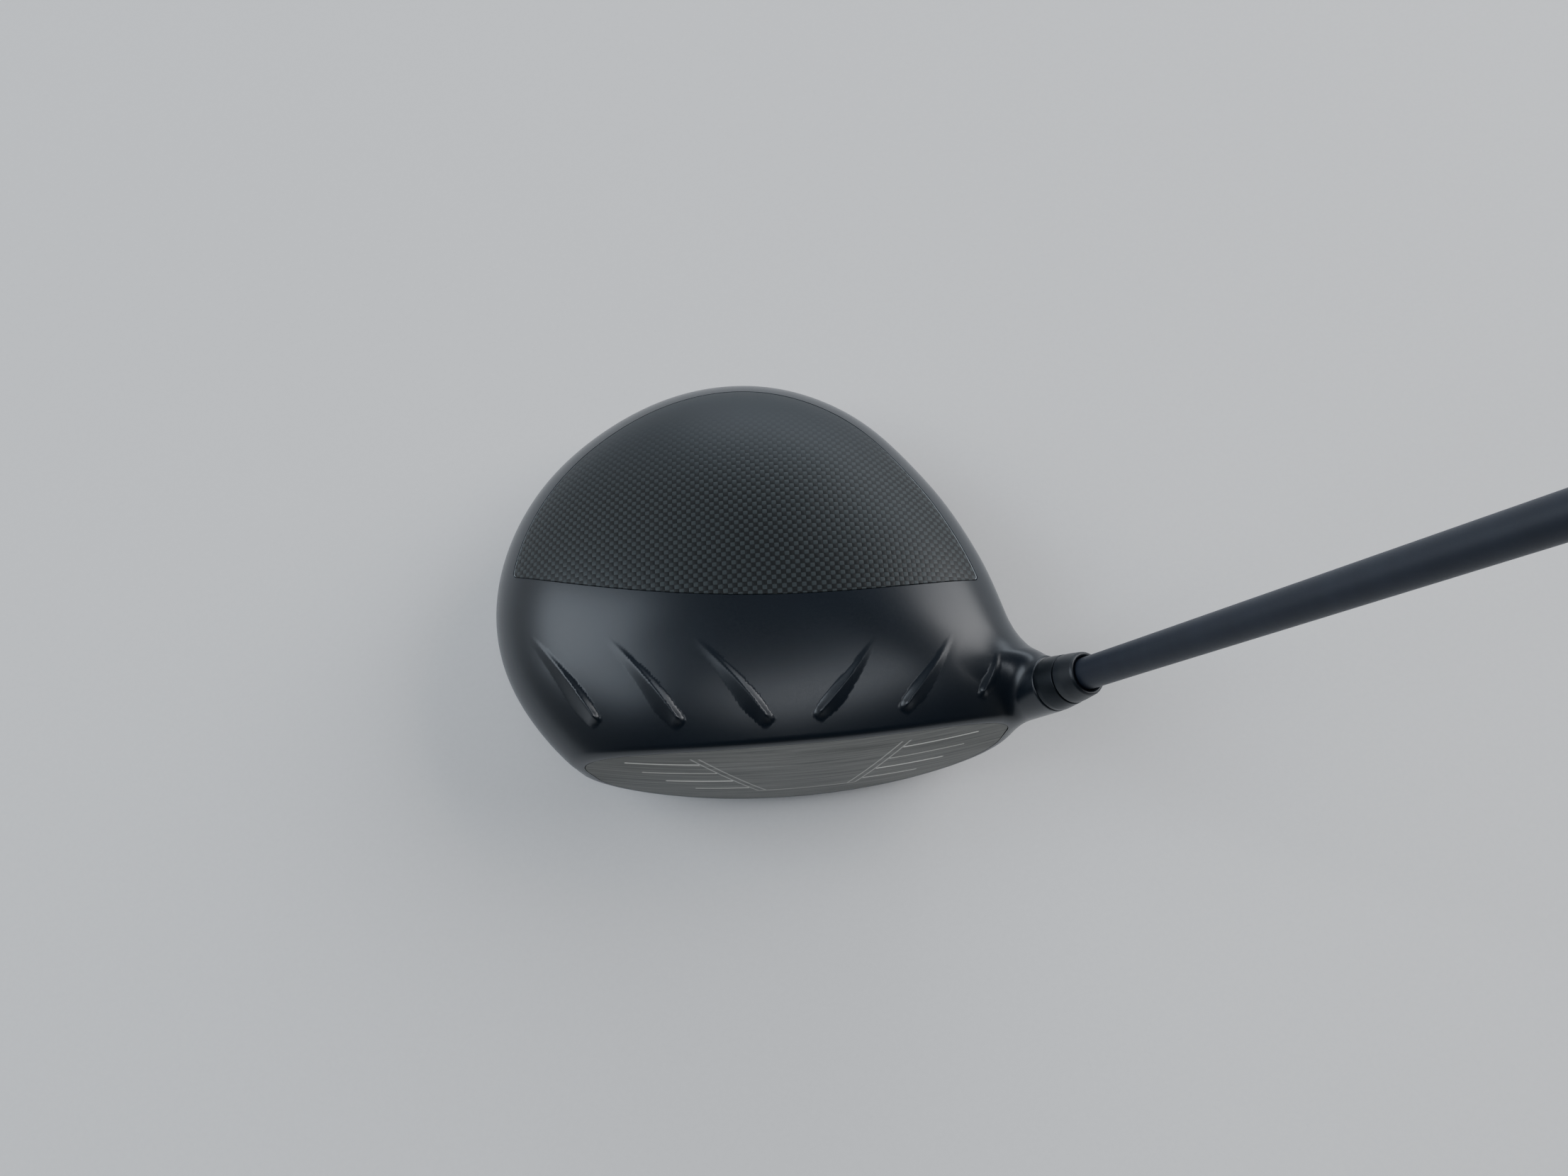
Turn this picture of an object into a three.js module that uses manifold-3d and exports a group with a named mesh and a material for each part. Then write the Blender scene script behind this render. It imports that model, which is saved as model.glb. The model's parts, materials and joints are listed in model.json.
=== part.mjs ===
// A right-handed golf driver at address, in millimetres.
// +X runs from toe to heel, -Y is the way the face looks, +Z is up and the ground is z = 0.
// The origin is the middle of the flat pad on the sole that the club rests on.
import * as THREE from 'three';
import { mergeVertices } from 'three/addons/utils/BufferGeometryUtils.js';
import Module from 'manifold-3d';

const wasm = await Module();
wasm.setup();

// ---- driving dimensions ----
const GAP = 0.3;
const CROWN_TOP = 62;
const SKIRT_BAND = 6;
const PAD_CUT = 0.5;
const WALL = 1.5;
const SOLE_WALL = 2;
const PANEL_THICK = 1.1;
const LEDGE_DEPTH = 1.4;
const LEDGE_THICK = 1.2;
const LEDGE_WIDTH = 5;
const PANEL_REACH = 0.885;

// Widest line of the head, seen from above: x, y and the height of the crown's rim there.
const RIM_POINTS = [
  [66, -10, 40], [61.5, 8, 38], [55, 25, 36], [45.5, 42.5, 33], [31, 61, 31], [12, 74, 29.5],
  [-10, 79.6, 28], [-31, 77, 28], [-52, 67.5, 28], [-70, 51.5, 29], [-81, 32, 30], [-85, 11, 31],
  [-82, -8, 32], [-72, -27, 33], [-54, -45, 34], [-28, -57, 34], [0, -61, 35], [25, -58, 36],
  [48, -50, 38], [64, -38, 40], [68, -24, 41],
];
const RIM_STEPS = 42;
const CROWN_STEPS = 8;
const SOLE_STEPS = 7;

const LOFT = THREE.MathUtils.degToRad(10.5);
const FACE_MID = new THREE.Vector3(2, -46, 30);
const BULGE_RADIUS = 330;
const ROLL_RADIUS = 300;
const FACE_THICK = 3;
const FACE_RIM = 2.3;

const SEAM_MID = new THREE.Vector2(17, -0.9);
const SEAM_RADIUS = 247;

const LIE = THREE.MathUtils.degToRad(57);
const AXIS_FOOT = new THREE.Vector3(38, -30, 0);
const HOSEL_END = 64.6;
const HOSEL_RADIUS = 7.4;
const HOSEL_BORE = 5.9;
const SEAT = 30;
const WEB_BOTTOM = 26.5;
const BOLT_PORT_RADIUS = 5.3;
const BOLT_RADIUS = 2.5;
const BOLT_HEAD_RADIUS = 4.2;
const BOLT_FOOT = 19.5;
const BOLT_HEAD_TOP = 24.9;
const BOLT_TIP = 37.5;
const WASHER = { radius: 4.9, from: 25.2, to: 26.2 };
const RING = { inner: 3.4, outer: 5, from: 17.3, to: 18.5 };

const SOCKET_FLOOR = 38;
const ADAPTER_RADIUS = 5.6;
const ADAPTER_TOP = 71;
const ADAPTER_TOP_RADIUS = 6.65;
const FERRULE_FOOT_RADIUS = 6.6;
const FERRULE_LIP_RADIUS = 5.5;
const FERRULE_TOP = 77.6;
const SHAFT_FOOT = 38.3;
const TIP_RADIUS = 4.26;
const TIP_PARALLEL_END = 95;
const SHAFT_TAPER = 0.00308;
const SHAFT_WALL = 1.1;
const CLUB_LENGTH = 1156;
const GRIP_LENGTH = 267;

const TRACK_CENTRE = new THREE.Vector2(-14, 17);
const TRACK_RADIUS = 50;
const TRACK_WIDTH = 13;
const TRACK_CEILING = 19;
const TRACK_END = 0.012;
const TRACK_WALL = 0.033;
const SLOT_HALF = 3.3;
const SLOT_TOP = 21.5;
const SLOT_END = 0.06;
const NUT_ROOM_HALF = 5.8;
const NUT_ROOM_TOP = 26.5;
const NUT_HALF_ANGLE = 0.14;
const HOUSING_HALF = 8;
const HOUSING_FOOT = 4;
const HOUSING_TOP = 28;
const WEIGHT_HALF_ANGLE = THREE.MathUtils.degToRad(13.75);
const WEIGHT_TRAVEL = THREE.MathUtils.degToRad(16);

const SCREW_HEAD_RADIUS = 3.8;
const SCREW_RADIUS = 2.3;
const SCREW_FOOT = 11.6;
const SCREW_SHOULDER = 15.1;
const SCREW_TIP = 25.6;
const COUNTERBORE_RADIUS = 4.1;

const BADGE_MID = new THREE.Vector2(-12, 33);
const BADGE_HALF = new THREE.Vector2(19, 8);
const BADGE_DEPTH = 0.9;
const BADGE_THICK = 0.6;

const GRIP_RADIUS = 14.6;
const GRIP_CLEARANCE = 0.85;
const TAPE_THICK = 0.25;
const CAP_FOOT = CLUB_LENGTH - 4.2;
const VENT_RADIUS = 1.1;

const FAR = 130;
const ROUND = 32;
const SMALL_ROUND = 20;

// ---- solids ----
function toSolid(geometry) {
  const bare = geometry.clone();
  bare.deleteAttribute('normal');
  bare.deleteAttribute('uv');
  const merged = mergeVertices(bare, 1e-4);
  return new wasm.Manifold(new wasm.Mesh({
    numProp: 3,
    vertProperties: new Float32Array(merged.attributes.position.array),
    triVerts: new Uint32Array(merged.index.array),
  }));
}

function toGeometry(solid) {
  const mesh = solid.getMesh();
  const geometry = new THREE.BufferGeometry();
  geometry.setAttribute('position', new THREE.BufferAttribute(mesh.vertProperties, 3));
  geometry.setIndex(new THREE.BufferAttribute(mesh.triVerts, 1));
  geometry.computeVertexNormals();
  return geometry;
}

function ringSolid(bottomPole, rings, topPole) {
  const points = [bottomPole, ...rings.flat(), topPole];
  const count = rings[0].length;
  const index = [];
  const at = (ring, step) => 1 + ring * count + (step % count);
  for (let step = 0; step < count; step += 1) {
    index.push(0, at(0, step + 1), at(0, step));
    for (let ring = 0; ring + 1 < rings.length; ring += 1) {
      index.push(at(ring, step), at(ring, step + 1), at(ring + 1, step + 1));
      index.push(at(ring, step), at(ring + 1, step + 1), at(ring + 1, step));
    }
    index.push(at(rings.length - 1, step), at(rings.length - 1, step + 1), points.length - 1);
  }
  const geometry = new THREE.BufferGeometry().setFromPoints(points);
  geometry.setIndex(index);
  return toSolid(geometry);
}

// ---- the head's outer form ----
const rimCurve = new THREE.CatmullRomCurve3(
  RIM_POINTS.map(([x, y, z]) => new THREE.Vector3(x, y, z)), true, 'catmullrom', 0.5);
const rim = Array.from({ length: RIM_STEPS }, (_, step) => rimCurve.getPoint(step / RIM_STEPS));

// Share of the dome's height left at a share of the way from its middle to the rim.
// The rear falls away sooner than the front.
function dome(share, rimY) {
  const rear = THREE.MathUtils.smoothstep(rimY, -20, 60);
  const inner = THREE.MathUtils.lerp(2.4, 1.9, rear);
  const outer = THREE.MathUtils.lerp(2, 1.7, rear);
  return (1 - share ** inner) ** (1 / outer);
}

function crownPoint(rimPoint, share, inset) {
  const reach = share * (1 - inset / Math.hypot(rimPoint.x, rimPoint.y));
  const rise = (CROWN_TOP - inset - rimPoint.z) * dome(share, rimPoint.y);
  return new THREE.Vector3(rimPoint.x * reach, rimPoint.y * reach, rimPoint.z + rise);
}

function solePoint(rimPoint, share, inset, floor) {
  const reach = share * (1 - inset / Math.hypot(rimPoint.x, rimPoint.y));
  const edge = rimPoint.z - SKIRT_BAND;
  const height = Math.max(0, edge * (1 - dome(share, rimPoint.y)) - PAD_CUT);
  return new THREE.Vector3(rimPoint.x * reach, rimPoint.y * reach, Math.min(height + floor, edge));
}

// The whole head without hosel or face cut, drawn in by an even inset.
function headForm(inset, floor = inset) {
  const rings = [];
  for (let step = 1; step <= SOLE_STEPS; step += 1) {
    const share = Math.sin(step / SOLE_STEPS * Math.PI / 2);
    rings.push(rim.map((point) => solePoint(point, share, inset, floor)));
  }
  for (let step = CROWN_STEPS; step >= 1; step -= 1) {
    const share = Math.sin(step / CROWN_STEPS * Math.PI / 2);
    rings.push(rim.map((point) => crownPoint(point, share, inset)));
  }
  return ringSolid(new THREE.Vector3(0, 0, floor), rings, new THREE.Vector3(0, 0, CROWN_TOP - inset));
}

// Crown height at a plan position, read along the ray from the middle to the rim.
function crownHeight(x, y) {
  const ahead = new THREE.Vector2(x, y).normalize();
  for (let step = 0; step < rim.length; step += 1) {
    const a = rim[step];
    const b = rim[(step + 1) % rim.length];
    const sideA = ahead.x * a.y - ahead.y * a.x;
    const sideB = ahead.x * b.y - ahead.y * b.x;
    if (sideA <= 0 && sideB > 0 && a.x * ahead.x + a.y * ahead.y > 0) {
      const edge = a.clone().lerp(b, sideA / (sideA - sideB));
      return crownPoint(edge, Math.hypot(x, y) / Math.hypot(edge.x, edge.y), 0).z;
    }
  }
  return CROWN_TOP;
}

function facePlane(x, z) {
  const across = x - FACE_MID.x;
  const above = z - FACE_MID.z;
  const tilt = Math.tan(LOFT) * above;
  return FACE_MID.y + tilt + across ** 2 / (2 * BULGE_RADIUS) + above ** 2 / (2 * ROLL_RADIUS);
}

// A block whose front follows the bulged and rolled face and whose back is flat or follows it too.
function faceBlock(front, back) {
  const halfWidth = 104;
  const low = -14;
  const high = 82;
  const columns = 16;
  const rows = 8;
  const sheet = new THREE.PlaneGeometry(2, 1, columns, rows);
  const place = sheet.attributes.position;
  const points = [];
  for (const offset of [front, back]) {
    for (let i = 0; i < place.count; i += 1) {
      const x = place.getX(i) * halfWidth;
      const z = THREE.MathUtils.lerp(low, high, place.getY(i) + 0.5);
      points.push(new THREE.Vector3(x, offset === FAR ? FAR : facePlane(x, z) + offset, z));
    }
  }
  const index = [];
  const cells = sheet.index.array;
  for (let i = 0; i < cells.length; i += 3) {
    index.push(cells[i], cells[i + 1], cells[i + 2]);
    index.push(cells[i] + place.count, cells[i + 2] + place.count, cells[i + 1] + place.count);
  }
  const border = [];
  for (let column = 0; column < columns; column += 1) border.push(column);
  for (let row = 0; row < rows; row += 1) border.push(row * (columns + 1) + columns);
  for (let column = columns; column > 0; column -= 1) border.push(rows * (columns + 1) + column);
  for (let row = rows; row > 0; row -= 1) border.push(row * (columns + 1));
  border.forEach((a, i) => {
    const b = border[(i + 1) % border.length];
    index.push(a, b, a + place.count);
    index.push(b, b + place.count, a + place.count);
  });
  const geometry = new THREE.BufferGeometry().setFromPoints(points);
  geometry.setIndex(index);
  return toSolid(geometry);
}

// ---- helpers for turned and extruded pieces ----
const shaftTurn = new THREE.Matrix4().makeRotationY(Math.PI / 2 - LIE);
const shaftPlace = new THREE.Matrix4().setPosition(AXIS_FOOT).multiply(shaftTurn);

// A turned piece from (radius, distance along the axis) pairs, stood up along +Z.
function turned(profile, sides = ROUND) {
  const outline = profile.map(([radius, along]) => new THREE.Vector2(radius, along));
  return new THREE.LatheGeometry(outline, sides).rotateX(Math.PI / 2);
}

function onShaftAxis(profile, sides = ROUND) {
  return toSolid(turned(profile, sides).applyMatrix4(shaftPlace));
}

function rod(radius, from, to) {
  return [[0, from], [radius, from], [radius, to], [0, to]];
}

function washer(inner, outer, from, to) {
  return onShaftAxis([[inner, from], [outer, from], [outer, to], [inner, to], [inner, from]], SMALL_ROUND);
}

function prism(shape, from, to, curveSteps = 12) {
  const settings = { depth: to - from, bevelEnabled: false, curveSegments: curveSteps };
  return toSolid(new THREE.ExtrudeGeometry(shape, settings).translate(0, 0, from));
}

// A block that follows the weight track, a half width to each side and within an angle of straight back.
function trackBlock(halfWidth, halfAngle, from, to) {
  const shape = new THREE.Shape();
  const start = Math.PI / 2 - halfAngle;
  const end = Math.PI / 2 + halfAngle;
  shape.absarc(TRACK_CENTRE.x, TRACK_CENTRE.y, TRACK_RADIUS + halfWidth, start, end, false);
  shape.absarc(TRACK_CENTRE.x, TRACK_CENTRE.y, TRACK_RADIUS - halfWidth, end, start, true);
  shape.closePath();
  return prism(shape, from, to, 10);
}

// The crown opening in plan: the front seam is an arc, the rest follows the rim.
function panelPrism(grow) {
  const seamY = (x) => {
    const across = x - SEAM_MID.x;
    return SEAM_MID.y + SEAM_RADIUS - Math.sqrt(SEAM_RADIUS ** 2 - across ** 2) - grow;
  };
  const edge = rim.map((point) => {
    const size = Math.hypot(point.x, point.y);
    return new THREE.Vector2(point.x, point.y).multiplyScalar(PANEL_REACH + grow / size);
  });
  const behind = edge.filter((point) => point.y > seamY(point.x) + 1);
  const first = behind.reduce((best, point, i) => (point.x > behind[best].x ? i : best), 0);
  const ordered = [...behind.slice(first), ...behind.slice(0, first)];
  const heel = ordered[0].x + 1.2;
  const toe = ordered[ordered.length - 1].x - 1.2;
  const seam = Array.from({ length: 13 }, (_, i) => {
    const x = THREE.MathUtils.lerp(toe, heel, i / 12);
    return new THREE.Vector2(x, seamY(x));
  });
  return prism(new THREE.Shape([...ordered, ...seam]), 33, 80);
}

// ---- sub-parts ----
const faceFront = faceBlock(0, FAR);
const outerForm = headForm(0);
const wallForm = headForm(WALL, SOLE_WALL);

// Air-flow ridges on the front of the crown, each from its thin tail to its blunt nose.
const RIDGES = [
  [[-70.3, -2.4], [-51.9, -27.9]], [[-46.6, -7.2], [-28.2, -31.2]], [[-21.9, -10.5], [-4.1, -32.9]],
  [[26.3, -14.9], [10.4, -33]], [[47.3, -14.8], [33.3, -32.7]], [[59.5, -19.9], [54.6, -30.1]],
];

function ridge([tail, nose]) {
  const sink = 1.2;
  const from = new THREE.Vector3(tail[0], tail[1], crownHeight(...tail) - sink);
  const to = new THREE.Vector3(nose[0], nose[1], crownHeight(...nose) - sink);
  const length = from.distanceTo(to);
  const width = 1.4 + length / 30;
  const profile = [
    [0, 0], [width * 0.35, length * 0.3], [width * 0.8, length * 0.75],
    [width, length * 0.93], [0, length + 1],
  ];
  const ahead = to.clone().sub(from).normalize();
  const turn = new THREE.Quaternion().setFromUnitVectors(new THREE.Vector3(0, 0, 1), ahead);
  return toSolid(turned(profile, 8).applyQuaternion(turn).translate(from.x, from.y, from.z));
}

// The hosel flares out where it runs into the crown.
function hoselStub() {
  return onShaftAxis([
    [0, 20], [HOSEL_RADIUS, 20], [13, 36], [12, 43], [9.6, 49], [8, 54.5],
    [HOSEL_RADIUS, 59], [HOSEL_RADIUS, HOSEL_END], [0, HOSEL_END],
  ]);
}

const TRACK_REACH = WEIGHT_HALF_ANGLE + WEIGHT_TRAVEL + TRACK_END;

function trackHousing() {
  const reach = TRACK_REACH + TRACK_WALL;
  return trackBlock(HOUSING_HALF, reach, HOUSING_FOOT, HOUSING_TOP);
}

function trackHollow() {
  const half = TRACK_WIDTH / 2;
  const channel = trackBlock(half, TRACK_REACH, -5, TRACK_CEILING);
  const slot = trackBlock(SLOT_HALF, TRACK_REACH - SLOT_END, TRACK_CEILING - 1, SLOT_TOP + 0.5);
  const nutRoom = trackBlock(NUT_ROOM_HALF, TRACK_REACH, SLOT_TOP, NUT_ROOM_TOP);
  return channel.add(slot).add(nutRoom);
}

function badgePrism(grow) {
  const shape = new THREE.Shape();
  const half = BADGE_HALF.clone().addScalar(grow);
  shape.absellipse(BADGE_MID.x, BADGE_MID.y, half.x, half.y, 0, Math.PI * 2, false, 0);
  return prism(shape, -5, 12, 28);
}

function headBody() {
  const behindFace = faceBlock(FACE_THICK, FAR);
  const cavity = wallForm.intersect(behindFace);
  const ledgeZone = panelPrism(3).subtract(panelPrism(-LEDGE_WIDTH));
  const ledgeSkin = headForm(LEDGE_DEPTH).subtract(headForm(LEDGE_DEPTH + LEDGE_THICK));
  const ledge = ledgeSkin.intersect(ledgeZone);
  const hoselTube = onShaftAxis(rod(HOSEL_RADIUS, -6, 50)).intersect(outerForm);
  let body = outerForm.subtract(cavity).add(ledge.intersect(behindFace));
  const crownCut = panelPrism(GAP).subtract(headForm(LEDGE_DEPTH));
  body = body.subtract(crownCut);
  body = body.subtract(panelPrism(-LEDGE_WIDTH).subtract(headForm(LEDGE_DEPTH + LEDGE_THICK + 2)));
  body = body.add(trackHousing().intersect(outerForm)).subtract(trackHollow());
  body = body.add(hoselStub().add(hoselTube));
  for (const line of RIDGES) body = body.add(ridge(line));
  body = body.intersect(faceFront);
  body = body.subtract(headForm(FACE_RIM).intersect(faceBlock(-8, FACE_THICK + 0.2)));
  body = body.subtract(onShaftAxis(rod(HOSEL_BORE, SEAT, 80)));
  body = body.subtract(onShaftAxis(rod(BOLT_RADIUS + GAP, WEB_BOTTOM - 1, SEAT + 1), SMALL_ROUND));
  body = body.subtract(onShaftAxis(rod(BOLT_PORT_RADIUS, -12, WEB_BOTTOM), 24));
  return body.subtract(badgePrism(GAP).subtract(headForm(0, BADGE_DEPTH)));
}

function faceInsert() {
  return headForm(FACE_RIM + GAP).intersect(faceBlock(0, FACE_THICK));
}

function crownPanel() {
  return outerForm.subtract(headForm(PANEL_THICK)).intersect(panelPrism(0));
}

function soleBadge() {
  return outerForm.subtract(headForm(0, BADGE_THICK)).intersect(badgePrism(0));
}

const screwSpot = new THREE.Vector2(TRACK_CENTRE.x, TRACK_CENTRE.y + TRACK_RADIUS);

function atScrew(profile, sides = SMALL_ROUND) {
  return toSolid(turned(profile, sides).translate(screwSpot.x, screwSpot.y, 0));
}

function starSocket(radius, from, to) {
  const lobes = 6;
  const shape = new THREE.Shape(Array.from({ length: lobes * 2 }, (_, i) => {
    const angle = i / (lobes * 2) * Math.PI * 2;
    const reach = i % 2 ? radius * 0.72 : radius;
    return new THREE.Vector2(Math.cos(angle) * reach, Math.sin(angle) * reach);
  }));
  const geometry = new THREE.ExtrudeGeometry(shape, { depth: to - from, bevelEnabled: false });
  return geometry.translate(0, 0, from);
}

function backWeight() {
  const half = TRACK_WIDTH / 2 - GAP;
  const block = trackBlock(half, WEIGHT_HALF_ANGLE, 1, TRACK_CEILING - GAP);
  const hole = atScrew(rod(SCREW_RADIUS + GAP, 0, HOUSING_TOP));
  const counterbore = atScrew(rod(COUNTERBORE_RADIUS, 0, SCREW_SHOULDER + GAP));
  return block.intersect(headForm(GAP)).subtract(hole).subtract(counterbore);
}

function weightScrew() {
  const body = atScrew([
    [0, SCREW_FOOT], [SCREW_HEAD_RADIUS, SCREW_FOOT], [SCREW_HEAD_RADIUS, SCREW_SHOULDER],
    [SCREW_RADIUS, SCREW_SHOULDER], [SCREW_RADIUS, SCREW_TIP], [0, SCREW_TIP],
  ]);
  const socket = starSocket(SCREW_RADIUS, SCREW_FOOT - 1, SCREW_FOOT + 2.4);
  return body.subtract(toSolid(socket.translate(screwSpot.x, screwSpot.y, 0)));
}

function weightNut() {
  const half = NUT_ROOM_HALF - GAP;
  const foot = SLOT_TOP + GAP;
  const block = trackBlock(half, NUT_HALF_ANGLE, foot, NUT_ROOM_TOP - GAP);
  return block.subtract(atScrew(rod(SCREW_RADIUS + GAP, 0, 40)));
}

function hoselBolt() {
  const body = onShaftAxis([
    [0, BOLT_FOOT], [BOLT_HEAD_RADIUS, BOLT_FOOT], [BOLT_HEAD_RADIUS, BOLT_HEAD_TOP],
    [BOLT_RADIUS, BOLT_HEAD_TOP], [BOLT_RADIUS, BOLT_TIP], [0, BOLT_TIP],
  ], SMALL_ROUND);
  return body.subtract(toSolid(starSocket(2.6, BOLT_FOOT - 2, BOLT_FOOT + 3).applyMatrix4(shaftPlace)));
}

// The threaded foot that the bolt draws the sleeve down by.
function threadInsert() {
  const bore = BOLT_RADIUS + GAP;
  const top = SOCKET_FLOOR - GAP;
  return onShaftAxis([
    [bore, SEAT + GAP], [ADAPTER_RADIUS - 0.4, SEAT + GAP], [ADAPTER_RADIUS, SEAT + 1.2],
    [ADAPTER_RADIUS, top], [bore, top], [bore, SEAT + GAP],
  ]);
}

function adapterSleeve() {
  const bore = TIP_RADIUS + GAP;
  const collar = HOSEL_END + GAP;
  return onShaftAxis([
    [bore, SOCKET_FLOOR], [ADAPTER_RADIUS, SOCKET_FLOOR], [ADAPTER_RADIUS, collar],
    [HOSEL_RADIUS - 0.1, collar], [ADAPTER_TOP_RADIUS, ADAPTER_TOP],
    [bore, ADAPTER_TOP], [bore, SOCKET_FLOOR],
  ]);
}

function ferrule() {
  const bore = TIP_RADIUS + GAP;
  const foot = ADAPTER_TOP + GAP;
  return onShaftAxis([
    [bore, foot], [FERRULE_FOOT_RADIUS, foot], [FERRULE_LIP_RADIUS + 0.35, FERRULE_TOP - 0.6],
    [FERRULE_LIP_RADIUS, FERRULE_TOP], [FERRULE_LIP_RADIUS - 0.5, FERRULE_TOP],
    [bore, FERRULE_TOP - 0.5], [bore, foot],
  ]);
}

function shaftRadius(along) {
  return TIP_RADIUS + Math.max(0, along - TIP_PARALLEL_END) * SHAFT_TAPER;
}

const BUTT = CLUB_LENGTH - 8;
const GRIP_FOOT = CLUB_LENGTH - GRIP_LENGTH;

function shaft() {
  const outer = [SHAFT_FOOT, TIP_PARALLEL_END, BUTT].map((along) => [shaftRadius(along), along]);
  const inner = [BUTT, TIP_PARALLEL_END, SHAFT_FOOT].map((along) => [shaftRadius(along) - SHAFT_WALL, along]);
  return onShaftAxis([...outer, ...inner, outer[0]], 24);
}

function tipPlug() {
  return onShaftAxis(rod(TIP_RADIUS - SHAFT_WALL - GAP, SHAFT_FOOT + 1, SHAFT_FOOT + 11), 16);
}

function gripTape() {
  const from = GRIP_FOOT + 6;
  const to = BUTT - 1;
  const outer = GAP + TAPE_THICK;
  return onShaftAxis([
    [shaftRadius(from) + GAP, from], [shaftRadius(from) + outer, from], [shaftRadius(to) + outer, to],
    [shaftRadius(to) + GAP, to], [shaftRadius(from) + GAP, from],
  ], 24);
}

function grip() {
  const top = CAP_FOOT - GAP;
  const bore = shaftRadius(GRIP_FOOT) + GRIP_CLEARANCE;
  return onShaftAxis([
    [bore, GRIP_FOOT], [9.1, GRIP_FOOT], [9.5, GRIP_FOOT + 4], [10.2, GRIP_FOOT + 90],
    [12.4, GRIP_FOOT + 210], [13.6, GRIP_FOOT + 250], [GRIP_RADIUS, top - 4], [GRIP_RADIUS, top],
    [shaftRadius(BUTT) + GRIP_CLEARANCE, top], [bore, GRIP_FOOT],
  ], 28);
}

function gripCap() {
  return onShaftAxis([
    [VENT_RADIUS, CAP_FOOT], [GRIP_RADIUS, CAP_FOOT], [GRIP_RADIUS - 0.2, CAP_FOOT + 2.4],
    [GRIP_RADIUS - 2, CLUB_LENGTH], [VENT_RADIUS, CLUB_LENGTH], [VENT_RADIUS, CAP_FOOT],
  ], 28);
}

// ---- the club ----
const titanium = { color: 0x2f3438, roughness: 0.42, metalness: 0.3 };
const millFace = { color: 0x6f7370, roughness: 0.45, metalness: 1 };
const carbon = { color: 0x2c3236, roughness: 0.5, metalness: 0 };
const satinAluminium = { color: 0x33383c, roughness: 0.4, metalness: 0.6 };
const steel = { color: 0x9a9ea0, roughness: 0.35, metalness: 1 };
const tungsten = { color: 0x6a6c6e, roughness: 0.45, metalness: 1 };
const plastic = { color: 0x26292c, roughness: 0.5, metalness: 0 };
const paintedCarbon = { color: 0x2b3138, roughness: 0.5, metalness: 0 };
const rubber = { color: 0x1c1d1e, roughness: 0.85, metalness: 0 };
const tape = { color: 0xd8d2c0, roughness: 0.8, metalness: 0 };
const foam = { color: 0xc8c8c0, roughness: 0.9, metalness: 0 };

const club = new THREE.Group();

function addPiece(name, solid, finish) {
  const mesh = new THREE.Mesh(toGeometry(solid), new THREE.MeshStandardMaterial(finish));
  mesh.name = name;
  club.add(mesh);
}

addPiece('head_body', headBody(), titanium);
addPiece('face_insert', faceInsert(), millFace);
addPiece('crown_panel', crownPanel(), carbon);
addPiece('sole_badge', soleBadge(), satinAluminium);
addPiece('back_weight', backWeight(), tungsten);
addPiece('weight_screw', weightScrew(), steel);
addPiece('weight_nut', weightNut(), steel);
addPiece('hosel_bolt', hoselBolt(), steel);
addPiece('bolt_washer', washer(BOLT_RADIUS + GAP, WASHER.radius, WASHER.from, WASHER.to), steel);
addPiece('bolt_retaining_ring', washer(RING.inner, RING.outer, RING.from, RING.to), steel);
addPiece('adapter_sleeve', adapterSleeve(), satinAluminium);
addPiece('thread_insert', threadInsert(), steel);
addPiece('ferrule', ferrule(), plastic);
addPiece('shaft', shaft(), paintedCarbon);
addPiece('shaft_tip_plug', tipPlug(), foam);
addPiece('grip_tape', gripTape(), tape);
addPiece('grip', grip(), rubber);
addPiece('grip_cap', gripCap(), rubber);

export default club;
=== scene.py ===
# A golf driver at address, dressed round its CAD frame. Metres, +X toe to heel, -Y out of the face.
import json
import math
import bmesh
import bpy
import numpy as np
from mathutils import Matrix, Vector

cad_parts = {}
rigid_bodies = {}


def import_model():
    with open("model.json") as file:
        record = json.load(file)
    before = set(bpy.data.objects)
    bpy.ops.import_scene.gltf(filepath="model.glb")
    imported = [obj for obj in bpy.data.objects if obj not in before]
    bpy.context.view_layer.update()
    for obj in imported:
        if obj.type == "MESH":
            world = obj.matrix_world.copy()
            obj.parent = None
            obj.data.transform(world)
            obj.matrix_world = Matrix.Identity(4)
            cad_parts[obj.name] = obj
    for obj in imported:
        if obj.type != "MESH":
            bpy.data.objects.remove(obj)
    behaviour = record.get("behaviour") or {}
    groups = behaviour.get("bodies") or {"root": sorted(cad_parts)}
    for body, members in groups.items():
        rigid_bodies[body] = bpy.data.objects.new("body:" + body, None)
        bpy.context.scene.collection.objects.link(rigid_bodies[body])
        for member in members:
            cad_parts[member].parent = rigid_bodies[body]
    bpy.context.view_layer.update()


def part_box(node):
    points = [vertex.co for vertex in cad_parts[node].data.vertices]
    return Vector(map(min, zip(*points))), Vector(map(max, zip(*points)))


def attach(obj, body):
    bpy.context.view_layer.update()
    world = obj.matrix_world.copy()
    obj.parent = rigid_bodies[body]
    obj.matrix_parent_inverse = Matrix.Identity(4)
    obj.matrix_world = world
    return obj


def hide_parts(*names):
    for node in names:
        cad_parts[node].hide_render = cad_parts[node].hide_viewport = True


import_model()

# ------------------------------------------------------------
# The studio: a pale paper floor, a low wide window behind the head, a soft panel at each side, a
# strip overhead, and the camera of someone who holds the club and looks down on crown and face.
MM = 0.001


def linear(hex_code):
    parts = [int(hex_code[i:i + 2], 16) / 255 for i in (1, 3, 5)]
    return tuple(c / 12.92 if c <= 0.04045 else ((c + 0.055) / 1.055) ** 2.4 for c in parts) + (1.0,)


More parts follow.
